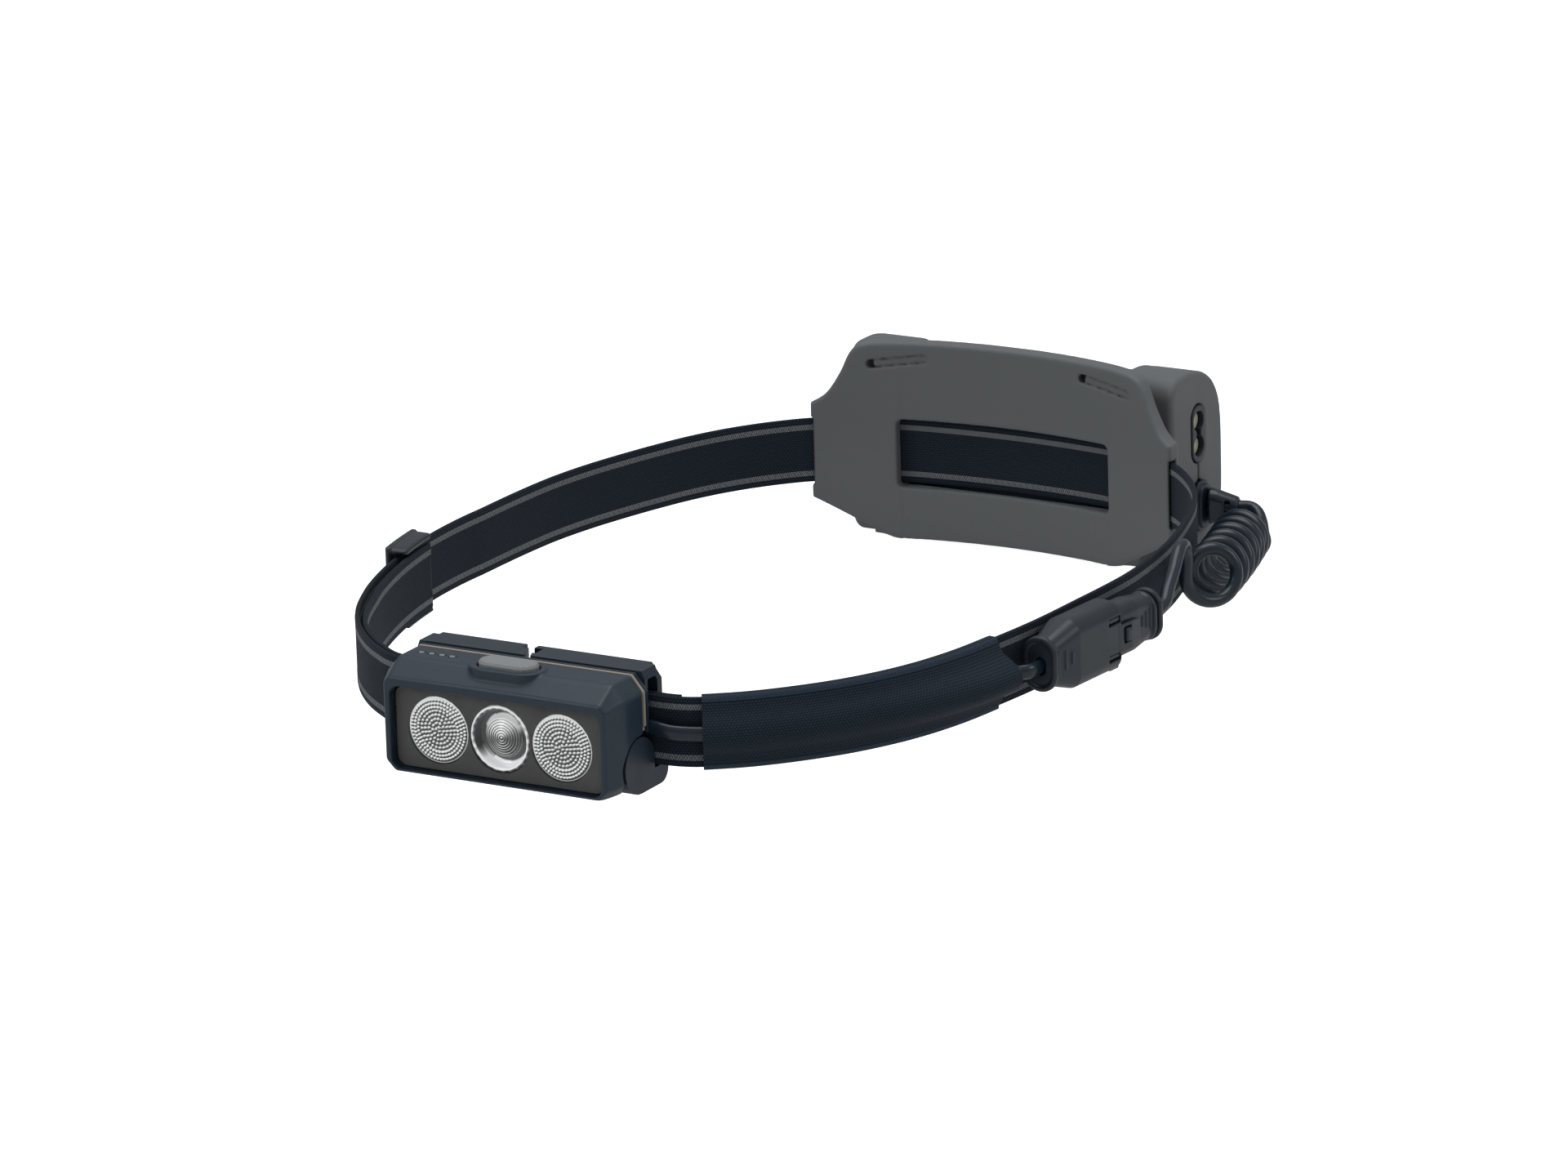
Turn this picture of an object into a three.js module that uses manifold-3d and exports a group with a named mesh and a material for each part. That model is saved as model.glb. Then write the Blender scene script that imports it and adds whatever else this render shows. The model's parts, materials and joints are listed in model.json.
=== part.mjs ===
// Headlamp: front lamp on a tilting bracket, fabric head loop with a strap slider, cable with a
// pull-apart connector, spring coil and a rear battery pack in a soft holder.
// Units mm. -Y is the way the lamp shines, +Z is up and +X is the wearer's left. "Left" and
// "right" below are as seen from the front, so right is +X.
// Origin: middle of the bracket's forehead face, on the band's mid plane. The numbers are drawn
// from the centre of the head loop and the whole model is then carried back by FRAME_SHIFT.
import * as THREE from 'three';
import { mergeVertices } from 'three/addons/utils/BufferGeometryUtils.js';
import { ConvexGeometry } from 'three/addons/geometries/ConvexGeometry.js';
import Module from 'manifold-3d';

const wasm = await Module();
wasm.setup();
const { Manifold, Mesh: ManifoldMesh } = wasm;
const { degToRad, radToDeg, lerp, smoothstep } = THREE.MathUtils;

// ---------------------------------------------------------------- driving dimensions
const GAP = 0.3;              // between neighbouring solids

const BAND_WIDTH = 15;
const BAND_THICK = 1.1;
const HALF_BAND = BAND_THICK / 2;
const LOOP_FRONT_Y = -103.4;  // band centreline behind the lamp
const TRAVEL_R = 150;         // arc of the band along the slider's travel, and its centre
const TRAVEL_X = 73.5;
const TRAVEL_Y = -10;
const STRAP_OFFSET = 2.4;     // adjuster strap centreline inside the band, at the slider
const STRAP_OFFSET_FRONT = 1.3;   // and where the two layers lie together

const LAMP_WIDTH = 56.6;
const LAMP_TOP = 12.5;
const LAMP_BOTTOM = -11.3;
const LAMP_FRONT_Y = -121;    // bezel face
const LAMP_SPLIT_Y = -108.6;  // back edge of the front shell
const LAMP_BACK_Y = -106.3;
const SEAL_FRONT_Y = LAMP_SPLIT_Y + GAP;
const SEAL_BACK_Y = -107.5;
const SCREW_X = 25;
const SCREW_Z = 8.6;
const WINDOW_WIDTH = 50.4;
const WINDOW_HEIGHT = 17.9;
const WINDOW_Z = -1.58;
const WINDOW_CORNER = 2.4;
const OPTIC_R = 7.1;
const OPTIC_PITCH = 14.81;
const PIVOT_Y = -110.2;
const PIVOT_Z = -6;
const PIN_R = 1.5;
const EAR_R = 6;
const EAR_INNER_X = 24.8;
const EAR_OUTER_X = 28.3;
const BUTTON_Y = -114.2;
const BUTTON_LENGTH = 13.6;
const BUTTON_WIDTH = 6.3;
const ENTRY_X = 17.2;         // cable entry on the lamp's back
const ENTRY_Z = 1.1;

const BRACKET_BACK_Y = -99.2; // forehead side
const BRACKET_TOP = 12.8;
const BRACKET_BOTTOM = -12;
const BRACKET_HALF = 27.4;
const FRAME_SHIFT = -BRACKET_BACK_Y;

const CABLE_R = 1.45;         // round cable of the coil
const LEAD_WIDTH = 2.1;       // flat twin lead along the band
const LEAD_HEIGHT = 3.2;
const CONNECTOR_FRONT = [79.65, -31.0];   // two points on the connector's axis, in plan
const CONNECTOR_REAR = [83.25, 10.6];

const PLATE_R = 119.5;        // curved back plate of the holder
const PLATE_CENTRE_Y = -18.7;
const PLATE_THICK = 4.3;
const PLATE_WINDOW_WIDTH = 54.1;
const PLATE_WINDOW_HEIGHT = 16;
const PACK_X = 39.6;          // half length of the battery case
const PACK_FRONT_Y = 104.6;
const PACK_MID_Z = 0.95;
const PACK_HALF_Z = 20.85;
const END_SKIN = 1.5;         // holder wall at the pack's ends
const SIDE_SKIN = 1.1;        // and round its sides
const HOLDER_END_X = PACK_X + GAP + END_SKIN;
const POCKET_INNER_X = 27;
const PORT_Y = 114.4;
const PORT_Z = 8.3;
const PORT_LENGTH = 13.6;
const PORT_WIDTH = 6.6;
const PORT_CONTACT_Z = [PORT_Z + 2.9, PORT_Z - 2.9];
const GLAND_Y = 114.4;
const GLAND_Z = -8.4;
const GLAND_LENGTH = 12;
const GLAND_WIDTH = 7;
const CELL_R = 9.1;
const CELL_Y = 114.7;
const CELL_UPPER_Z = PACK_MID_Z + 9.25;
const CELL_LOWER_Z = PACK_MID_Z - 9.25;

// ---------------------------------------------------------------- materials
const finish = {
  fabric: { color: 0x1d252e, roughness: 0.95 },
  sleeve: { color: 0x222a32, roughness: 0.95 },
  slider: { color: 0x303841, roughness: 0.55 },
  shell: { color: 0x2d343c, roughness: 0.55 },
  mount: { color: 0x2d343c, roughness: 0.6 },
  seal: { color: 0x8d857b, roughness: 0.7 },
  screw: { color: 0xa6a9ac, roughness: 0.35, metalness: 1 },
  steel: { color: 0xa6a9ac, roughness: 0.3, metalness: 1 },
  window: { color: 0xdfe3e6, roughness: 0.05, transparent: true, opacity: 0.25 },
  optic: { color: 0xdfe3e6, roughness: 0.08, transparent: true, opacity: 0.5 },
  panel: { color: 0x3c3c3d, roughness: 0.6 },
  led: { color: 0xe8d98a, roughness: 0.4 },
  whiteBoard: { color: 0xe6e7e4, roughness: 0.5 },
  aluminium: { color: 0xb9bcc0, roughness: 0.4, metalness: 1 },
  greenBoard: { color: 0x1f5a3c, roughness: 0.5 },
  switch: { color: 0x2a2a2a, roughness: 0.5 },
  button: { color: 0x6c7075, roughness: 0.6 },
  lightPipe: { color: 0xb8bab8, roughness: 0.4 },
  lampGland: { color: 0x2b343e, roughness: 0.6 },
  cable: { color: 0x2b343e, roughness: 0.5 },
  boot: { color: 0x2b343e, roughness: 0.55 },
  connector: { color: 0x303841, roughness: 0.5 },
  connectorSeal: { color: 0x7a3b2a, roughness: 0.7 },
  brassPin: { color: 0xc9b27a, roughness: 0.3, metalness: 1 },
  brassPlate: { color: 0xc9b27a, roughness: 0.35, metalness: 1 },
  packGland: { color: 0x1c2630, roughness: 0.6 },
  port: { color: 0x1c2630, roughness: 0.5 },
  holder: { color: 0x585c5e, roughness: 0.75 },
  cell: { color: 0x2e6f8c, roughness: 0.45 },
  contact: { color: 0xb9b79c, roughness: 0.4, metalness: 0.3 },
};

// ---------------------------------------------------------------- solids
function solidOf(geometry) {
  for (const name of Object.keys(geometry.attributes)) {
    if (name !== 'position') geometry.deleteAttribute(name);
  }
  const merged = mergeVertices(geometry, 1e-4);
  return new Manifold(new ManifoldMesh({
    numProp: 3,
    vertProperties: new Float32Array(merged.attributes.position.array),
    triVerts: new Uint32Array(merged.index.array),
  }));
}
function geometryOf(solid) {
  const mesh = solid.getMesh();
  const geometry = new THREE.BufferGeometry();
  const positions = new Float32Array(mesh.vertProperties);
  geometry.setAttribute('position', new THREE.BufferAttribute(positions, 3));
  geometry.setIndex(new THREE.BufferAttribute(new Uint32Array(mesh.triVerts), 1));
  geometry.computeVertexNormals();
  return geometry;
}
// moves every vertex to place(x, y, z)
function remap(geometry, place) {
  const position = geometry.attributes.position;
  for (let i = 0; i < position.count; i++) {
    position.setXYZ(i, ...place(position.getX(i), position.getY(i), position.getZ(i)));
  }
  return geometry;
}
// turns every triangle of an unindexed geometry over
function flip(geometry) {
  const position = geometry.attributes.position;
  const vertex = (i) => [position.getX(i), position.getY(i), position.getZ(i)];
  for (let i = 0; i < position.count; i += 3) {
    const second = vertex(i + 1);
    position.setXYZ(i + 1, ...vertex(i + 2));
    position.setXYZ(i + 2, ...second);
  }
  return geometry;
}
const vectors2 = (points) => points.map(([x, y]) => new THREE.Vector2(x, y));
function extrusion(outline, depth, holes = [], steps = 1) {
  const shape = new THREE.Shape(vectors2(outline));
  shape.holes = holes.map((hole) => new THREE.Path(vectors2(hole)));
  return new THREE.ExtrudeGeometry(shape, { depth, steps, bevelEnabled: false });
}
// prisms of an outline drawn as (y, z), (x, z) or (x, y)
function prismX(outline, from, to, holes) {
  return solidOf(remap(extrusion(outline, to - from, holes), (y, z, depth) => [depth + from, y, z]));
}
function prismY(outline, from, to) {
  return solidOf(remap(extrusion(outline, to - from), (x, z, depth) => [x, to - depth, z]));
}
function prismZ(outline, from, to, holes) {
  return solidOf(extrusion(outline, to - from, holes).translate(0, 0, from));
}
function box(xMin, xMax, yMin, yMax, zMin, zMax) {
  return solidOf(new THREE.BoxGeometry(xMax - xMin, yMax - yMin, zMax - zMin)
    .translate((xMin + xMax) / 2, (yMin + yMax) / 2, (zMin + zMax) / 2));
}
const hull = (points) => solidOf(new ConvexGeometry(points.map((p) => new THREE.Vector3(...p))));
function rodX(radius, from, to, y, z, sides) {
  return solidOf(new THREE.CylinderGeometry(radius, radius, to - from, sides)
    .rotateZ(Math.PI / 2).translate((from + to) / 2, y, z));
}
function rodY(radius, from, to, x, z, sides) {
  return solidOf(new THREE.CylinderGeometry(radius, radius, to - from, sides)
    .translate(x, (from + to) / 2, z));
}
function rodZ(radius, from, to, x, y, sides) {
  return solidOf(new THREE.CylinderGeometry(radius, radius, to - from, sides)
    .rotateX(Math.PI / 2).translate(x, y, (from + to) / 2));
}
// a solid over an x range on the right, and its partner on the left
const pair = (near, far, build) => build(near, far).add(build(-far, -near));
const boxPair = (near, far, ...yz) => pair(near, far, (from, to) => box(from, to, ...yz));

// sweeps an outline over numbered stations; place(outward, up, station) gives the 3D point
function swept(outline, stations, place, holes) {
  const geometry = extrusion(outline, stations, holes, stations);
  remap(geometry, (outward, up, depth) => place(outward, up, Math.round(depth)));
  return solidOf(flip(geometry));
}
function curveThrough(points, closed = false) {
  const vectors = points.map(([x, y, z = 0]) => new THREE.Vector3(x, y, z));
  return new THREE.CatmullRomCurve3(vectors, closed, 'centripetal');
}
function tube(points, radius, steps, sides) {
  const shape = new THREE.Shape(vectors2(ellipse(2 * radius, 2 * radius, sides)));
  const options = { steps, extrudePath: curveThrough(points), bevelEnabled: false };
  return solidOf(new THREE.ExtrudeGeometry(shape, options));
}

// ---------------------------------------------------------------- outlines
// arc in the plane, angles in degrees
function arc(x, y, radius, from, to, steps) {
  return Array.from({ length: steps + 1 }, (_, i) => {
    const angle = degToRad(from + (to - from) * i / steps);
    return [x + radius * Math.cos(angle), y + radius * Math.sin(angle)];
  });
}
function roundRect(x, y, width, height, radius, steps = 5) {
  const dx = width / 2 - radius;
  const dy = height / 2 - radius;
  return [
    ...arc(x + dx, y - dy, radius, -90, 0, steps),
    ...arc(x + dx, y + dy, radius, 0, 90, steps),
    ...arc(x - dx, y + dy, radius, 90, 180, steps),
    ...arc(x - dx, y - dy, radius, 180, 270, steps),
  ];
}
function stadium(x, y, width, height, steps = 4) {
  return roundRect(x, y, width, height, Math.min(width, height) / 2 - 0.01, steps);
}
function ellipse(width, height, sides) {
  return Array.from({ length: sides }, (_, i) => {
    const angle = 2 * Math.PI * i / sides;
    return [width / 2 * Math.cos(angle), height / 2 * Math.sin(angle)];
  });
}
const mirrored = (points) => points.map(([x, y]) => [-x, y]);

// evenly spaced points on a smooth curve through the given ones
function sampled(points, closed, count) {
  const samples = curveThrough(points, closed).getSpacedPoints(count).map(({ x, y }) => [x, y]);
  if (closed) samples.pop();
  return samples;
}
// outward normals of a counter-clockwise path
function normalsOf(path, closed) {
  const count = path.length;
  return path.map((_, i) => {
    const before = path[closed ? (i + count - 1) % count : Math.max(i - 1, 0)];
    const after = path[closed ? (i + 1) % count : Math.min(i + 1, count - 1)];
    const dx = after[0] - before[0];
    const dy = after[1] - before[1];
    const length = Math.hypot(dx, dy);
    return [dy / length, -dx / length];
  });
}
// distance is a number or a function of the point's index
function offset(path, normals, distance) {
  return path.map(([x, y], i) => {
    const out = typeof distance === 'function' ? distance(i) : distance;
    return [x + normals[i][0] * out, y + normals[i][1] * out];
  });
}
// closed outline between two offsets of an open path
const strip = (path, normals, outer, inner) => [
  ...offset(path, normals, outer), ...offset(path, normals, inner).reverse(),
];

// ---------------------------------------------------------------- band centreline, as (x, y)
const LOOP_SAMPLES = 116;
const FRONT_CURVE = [         // same on both sides, from the lamp outwards
  [14, LOOP_FRONT_Y], [26, LOOP_FRONT_Y], [32, LOOP_FRONT_Y + 0.1], [36.6, -102.0],
  [42.2, -98.3], [47.3, -94.0], [54.4, -86.2],
];
const RIGHT_SIDE = [
  [60.6, -77.6], [66.4, -66.2], [70.4, -53.5], [73.0, -38], [74.6, -25], [75.6, -8],
  [76.2, 5], [76.2, 14.6],
];
const LEFT_SIDE = [
  [-60.4, -77.2],
  ...[-64, -56, -48, -40, -32, -24, -16, -8, -1].map((y) => [
    TRAVEL_X - Math.sqrt(TRAVEL_R * TRAVEL_R - (y - TRAVEL_Y) ** 2), y,
  ]),
  [-76.15, 6], [-75.9, 14.6],
];
const REAR_CURVE = [          // same on both sides, towards the back
  [75.0, 27.1], [73.1, 38.2], [70.6, 48.2], [67.7, 57.8], [64.5, 66.8], [60.6, 75.1],
  [56.1, 82.2], [51.0, 88.4], [46.4, 92.75], [39.3, 96.75], [32, 99.8], [25, 101.65],
  [18, 102.6], [11, 103.2],
];
const loop = sampled([
  [0, LOOP_FRONT_Y], ...FRONT_CURVE, ...RIGHT_SIDE, ...REAR_CURVE, [0, 103.55],
  ...[...mirrored(FRONT_CURVE), ...LEFT_SIDE, ...mirrored(REAR_CURVE)].reverse(),
], true, LOOP_SAMPLES);
const loopNormals = normalsOf(loop, true);

function headband() {
  const outer = offset(loop, loopNormals, HALF_BAND);
  const inner = offset(loop, loopNormals, -HALF_BAND);
  return prismZ(outer, -BAND_WIDTH / 2, BAND_WIDTH / 2, [inner]);
}

// ---------------------------------------------------------------- adjuster strap and slider
const STRAP_START_X = 33.6;   // stitched end on the right
const STRAP_END_Y = -28.4;    // end at the slider on the left

// the point between two others where one coordinate has the given value
function crossing(from, to, axis, value) {
  const share = (value - from[axis]) / (to[axis] - from[axis]);
  return [from[0] + share * (to[0] - from[0]), from[1] + share * (to[1] - from[1])];
}
// inner layer from the stitched end, through the bracket, to the slider
function adjusterStrap() {
  const count = loop.length;
  const path = [];
  const normals = [];
  for (let i = Math.floor(count / 4); i > -count / 2; i--) {
    const here = (i + count) % count;
    const last = (here + 1) % count;
    const [x, y] = loop[here];
    if (x > STRAP_START_X + 0.2) continue;
    if (!path.length) {
      path.push(crossing(loop[here], loop[last], 0, STRAP_START_X));
      normals.push(loopNormals[here]);
    }
    if (y > STRAP_END_Y) {
      path.push(crossing(loop[last], loop[here], 1, STRAP_END_Y));
      normals.push(loopNormals[last]);
      break;
    }
    path.push(loop[here]);
    normals.push(loopNormals[here]);
  }
  const centre = (i) => {
    const [x, y] = path[i];
    if (x >= 0) return -STRAP_OFFSET_FRONT;
    return -lerp(STRAP_OFFSET_FRONT, STRAP_OFFSET, smoothstep(y, -92, -66));
  };
  const outline = strip(path, normals, (i) => centre(i) - HALF_BAND, (i) => centre(i) + HALF_BAND);
  return prismZ(outline, -BAND_WIDTH / 2, BAND_WIDTH / 2);
}

function strapSlider() {
  const front = Math.asin(-32.6 / TRAVEL_R);
  const rear = Math.asin(-17.2 / TRAVEL_R);
  const steps = 6;
  const edge = (radius, from, to) => Array.from({ length: steps + 1 }, (_, i) => {
    const angle = from + (to - from) * i / steps;
    return [TRAVEL_X - radius * Math.cos(angle), TRAVEL_Y + radius * Math.sin(angle)];
  });
  const sector = (inner, outer, from, to, zMin, zMax) => (
    prismZ([...edge(outer, from, to), ...edge(inner, to, from)].reverse(), zMin, zMax));
  const halfHeight = 9.8;
  const cheekZ = 7.9;
  const bandOuter = TRAVEL_R + HALF_BAND;
  const strapInner = TRAVEL_R - STRAP_OFFSET - HALF_BAND;
  const strapOuter = TRAVEL_R - STRAP_OFFSET + HALF_BAND;
  const halfBar = (rear - front) * 0.28;
  const middle = (front + rear) / 2;
  return sector(bandOuter + GAP, bandOuter + 1.7, front, rear, -halfHeight, halfHeight)
    .add(sector(strapInner, bandOuter + 1.0, front, rear, cheekZ, halfHeight))
    .add(sector(strapInner, bandOuter + 1.0, front, rear, -halfHeight, -cheekZ))
    // bar between the band and the strap
    .add(sector(strapOuter + 0.2, TRAVEL_R - HALF_BAND - 0.2,
      middle - halfBar, middle + halfBar, -8.4, 8.4));
}

// ---------------------------------------------------------------- lamp body
// corners of a box section at y, cut by (cutX, cutZ) at the top and (lowX, lowZ) at the bottom
function octagon(y, half, top, bottom, cutX, cutZ, lowX = cutX * 0.9, lowZ = cutZ * 0.8) {
  return [
    [half - cutX, y, top], [half, y, top - cutZ], [half, y, bottom + lowZ], [half - lowX, y, bottom],
    [-(half - lowX), y, bottom], [-half, y, bottom + lowZ], [-half, y, top - cutZ],
    [-(half - cutX), y, top],
  ];
}
const lampSection = (y) => octagon(y, LAMP_WIDTH / 2, LAMP_TOP, LAMP_BOTTOM, 2.8, 3.4);
const lampSlice = (front, back) => hull([...lampSection(back), ...lampSection(front)]);
const lampFrontHull = () => hull([
  ...lampSection(LAMP_SPLIT_Y),
  ...lampSection(-116),
  ...octagon(LAMP_FRONT_Y, 26.6, 9.3, LAMP_BOTTOM + 0.5, 1, 1, 1, 1),
  ...octagon(LAMP_FRONT_Y + 1.1, 27.0, 10.0, LAMP_BOTTOM, 1.2, 1.3),
]);
// what lies outside a quarter round about the pivot, so that the lamp can tip
const lowerRear = (radius, steps) => prismX([
  ...arc(PIVOT_Y, PIVOT_Z, radius, -90, 0, steps),
  [PIVOT_Y + 9, PIVOT_Z], [PIVOT_Y + 9, PIVOT_Z - 9], [PIVOT_Y, PIVOT_Z - 9],
], -40, 40);
const lampLowerRear = () => lowerRear(5.2, 12);
// takes room for the bracket's ears and the rounded lower rear edge out of the lamp
function cutLamp(solid) {
  const radius = EAR_R + GAP;
  const earSpace = [
    ...arc(PIVOT_Y, PIVOT_Z, radius, 90, 270, 14),
    [PIVOT_Y + 12, PIVOT_Z - radius], [PIVOT_Y + 12, PIVOT_Z + radius],
  ];
  return solid
    .subtract(pair(EAR_INNER_X - GAP, 40, (from, to) => prismX(earSpace, from, to)))
    .subtract(lampLowerRear());
}
const screwRods = (radius, from, to, sides) => (
  rodY(radius, from, to, SCREW_X, SCREW_Z, sides)
    .add(rodY(radius, from, to, -SCREW_X, SCREW_Z, sides)));
const buttonOutline = (grow) => (
  stadium(0, BUTTON_Y, BUTTON_LENGTH + grow, BUTTON_WIDTH + grow));
// row of four small posts at the indicator lights
function indicatorPosts(width, depth, zMin, zMax) {
  const posts = [0, 1, 2, 3].map((i) => (
    prismZ(stadium(-22.2 + i * 2.47, -112.4, width, depth), zMin, zMax)));
  return Manifold.union(posts);
}
// hollow of the front shell, narrowed beside the ears
function lampCavity() {
  const back = LAMP_SPLIT_Y + 1;
  return prismY(roundRect(0, 0.55, 53.2, 20.9, 1.5), -117.1, back)
    // lower just behind the window so that the sloping top keeps its wall
    .add(prismY(roundRect(0, -0.4, 53.2, 19.0, 1.5), -118.7, -117.0))
    .subtract(boxPair(23.2, 40, -117.9, back + 1, -20, 1.9))
    .subtract(lowerRear(3.9, 8));
}
function lampFrontShell() {
  const collar = stadium(0, BUTTON_Y - 0.4, BUTTON_LENGTH + 3.6, BUTTON_WIDTH + 2.4);
  const windowOutline = roundRect(0, WINDOW_Z, WINDOW_WIDTH, WINDOW_HEIGHT, WINDOW_CORNER);
  const pinHoles = pair(22, 30, (from, to) => rodX(PIN_R + 0.2, from, to, PIVOT_Y, PIVOT_Z, 20));
  const bosses = screwRods(1.9, -117, LAMP_SPLIT_Y, 16).intersect(lampFrontHull());
  return cutLamp(lampFrontHull().add(prismZ(collar, 8.5, LAMP_TOP + 0.45)))
    .subtract(lampCavity())
    .subtract(prismY(windowOutline, LAMP_FRONT_Y - 1, -118))
    // button well and stem hole
    .subtract(prismZ(buttonOutline(0.6), LAMP_TOP - 0.9, 20))
    .subtract(prismZ(stadium(0, BUTTON_Y, 6.6, 3.2), 8, 20))
    .subtract(indicatorPosts(1.7, 1.3, 9, 20))
    .subtract(pinHoles)
    .add(bosses)
    .subtract(screwRods(0.95, -114.6, LAMP_SPLIT_Y + 1, 12));
}
function lampSeal() {
  const slice = lampSlice(SEAL_FRONT_Y, SEAL_BACK_Y);
  return slice
    .subtract(prismY(roundRect(0, 0.55, 51.6, 19.3, 1.5), -109, -107))
    .subtract(boxPair(23.2, 40, -109, -107, -20, 1.9))
    .subtract(lampLowerRear())
    // strips beside and above the ears
    .add(boxPair(22.2, 23.9, SEAL_FRONT_Y, SEAL_BACK_Y, -9.9, 1.9))
    .add(boxPair(22.0, 27.9, SEAL_FRONT_Y, SEAL_BACK_Y, 0.9, 1.9))
    .add(screwRods(1.9, SEAL_FRONT_Y, SEAL_BACK_Y, 16).intersect(slice))
    .subtract(screwRods(1.15, -109, -107, 12));
}
function lampRearShell() {
  const front = SEAL_BACK_Y + GAP;
  return cutLamp(lampSlice(front, LAMP_BACK_Y))
    .add(boxPair(22.5, 24.3, front, LAMP_BACK_Y, -8.0, 2))
    .subtract(screwRods(1.15, -109, -105, 12))
    .subtract(screwRods(1.75, -106.75, -105, 16))
    // cable groove and entry hole
    .subtract(box(14.6, 40, -106.6, -105, -1.0, 3.2))
    .subtract(rodY(1.75, -109, -105, ENTRY_X, ENTRY_Z, 20));
}
// cross-head screw
function lampScrew(x) {
  const z = SCREW_Z;
  return rodY(0.8, -113.6, -106.5, x, z, 12)
    .add(rodY(1.5, -106.7, LAMP_BACK_Y - 0.02, x, z, 18))
    .subtract(box(x - 1.0, x + 1.0, -106.5, -106, z - 0.2, z + 0.2))
    .subtract(box(x - 0.2, x + 0.2, -106.5, -106, z - 1.0, z + 1.0));
}

// ---------------------------------------------------------------- window, optics, lights
const OPTIC_X = [-OPTIC_PITCH, 0, OPTIC_PITCH];
// lathe profiles as (radius, y), from the front centre round to the back centre
const FLOOD_PROFILE = [
  [0, -118.9], [OPTIC_R, -118.9], [OPTIC_R, -117.6], [6.6, -116.2], [5.2, -113.8],
  [3.9, -112.3], [2.9, -112.3], [2.7, -113.6], [0, -114.4],
];
const SPOT_PROFILE = [
  [0, -116.6], [3.0, -116.9], [4.4, -117.2], [4.6, -118.6], [6.6, -119.0], [OPTIC_R, -118.7],
  [OPTIC_R, -117.6], [6.7, -116.4], [5.6, -114.2], [4.1, -112.3], [3.0, -112.3],
  [2.8, -114.0], [0, -114.6],
];
function windowPane(less, lessCorner, front, back) {
  return prismY(roundRect(0, WINDOW_Z, WINDOW_WIDTH - less, WINDOW_HEIGHT - less,
    WINDOW_CORNER - lessCorner), front, back);
}
function opticPlate() {
  const holes = OPTIC_X.map((x) => rodY(OPTIC_R + 0.25, -120, -117, x, WINDOW_Z, 24));
  return prismY(roundRect(0, -0.9, 45.6, 17.4, 1.5), -118.4, -117.5)
    .add(windowPane(0.8, 0.3, -118.95, -118.4))
    .subtract(Manifold.union(holes));
}
function optic(profile, x) {
  return solidOf(new THREE.LatheGeometry(vectors2(profile), 24).translate(x, 0, WINDOW_Z));
}
function led(x) {
  return prismY(roundRect(x, WINDOW_Z, 3.4, 3.4, 0.3, 1), -112.5, -111.9)
    .add(rodY(1.35, -113.0, -112.5, x, WINDOW_Z, 20));
}
const ledBoard = () => prismY(roundRect(0, WINDOW_Z, 44, 12.4, 1), -111.75, -110.9);
function heatSpreader() {
  return prismY(roundRect(0, WINDOW_Z, 44.4, 13.6, 1), -110.7, -109.5)
    .subtract(box(-6, 6, -112, -109, 1.8, 12));
}
function controlBoard() {
  // raised blocks on the back, by their low corner (x, z)
  const blocks = [[-12, -3.5], [-3, -3.5], [7, -1.5]].map(([x, z]) => (
    box(x, x + 4.5, -108.7, -107.9, z, z + 4)));
  return Manifold.union([box(-20, 17, -109.3, -108.6, -6.6, 6.6), ...blocks]);
}
const buttonBoard = () => box(-8, 8, -117.2, -110.2, 6.6, 7.4);
function buttonSwitch() {
  return box(-2.6, 2.6, BUTTON_Y - 1.8, BUTTON_Y + 1.8, 7.6, 9.2)
    .add(rodZ(1.0, 9.1, 9.9, 0, BUTTON_Y, 16));
}
function powerButton() {
  // how much smaller the outline is, and at what height
  const levels = [[0, LAMP_TOP - 0.05], [0, 13.4], [0.7, 13.9], [1.9, 14.1]];
  const cap = hull(levels.flatMap(([less, z]) => buttonOutline(-less).map(([x, y]) => [x, y, z])));
  return cap.add(prismZ(stadium(0, BUTTON_Y, 5.8, 2.4), 10.75, LAMP_TOP + 0.5));
}
function indicatorLightPipe() {
  return box(-23.2, -13.8, -113.0, -111.8, 9.6, 10.7)
    .add(indicatorPosts(1.3, 0.9, 10.5, LAMP_TOP + 0.02));
}
function lampCableGland() {
  return rodY(1.45, -107.8, -105.5, ENTRY_X, ENTRY_Z, 18)
    .add(prismY(roundRect(ENTRY_X, ENTRY_Z, 4.4, 3.6, 0.8, 3), -106.35, -104.45));
}

// ---------------------------------------------------------------- bracket
// (x, z)
const BRACKET_OUTLINE = [
  [-BRACKET_HALF, BRACKET_BOTTOM], [BRACKET_HALF, BRACKET_BOTTOM], [BRACKET_HALF, 9.8],
  [25.2, BRACKET_TOP], [-25.2, BRACKET_TOP], [-BRACKET_HALF, 9.8],
];
// top lip in plan (x, y), with a slanting gap between its halves to thread the band through
const LIP_FRONT_Y = -106;
const RIGHT_LIP = [
  [0.1, LIP_FRONT_Y], [BRACKET_HALF, LIP_FRONT_Y], [BRACKET_HALF, -100.6], [-1.9, -100.6],
];
const LEFT_LIP = [
  [-BRACKET_HALF, -100.6], [-BRACKET_HALF, LIP_FRONT_Y], [-1.3, LIP_FRONT_Y], [-3.3, -100.6],
];
const LIP_CORNER = [[26.2, 14], [29, 14], [29, 8], [28.6, 8]];    // (x, z), cut away
const EAR_PROFILE = [         // (y, z)
  ...arc(PIVOT_Y, PIVOT_Z, EAR_R, 90, 270, 14),
  [-100.4, BRACKET_BOTTOM], [-99.2, -10.6], [-99.2, -8.0], [-104.6, -8.0], [-104.6, -3.6],
  [-105.6, -2.2], [-107.2, -0.9], [-108.8, -0.15],
];
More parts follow.
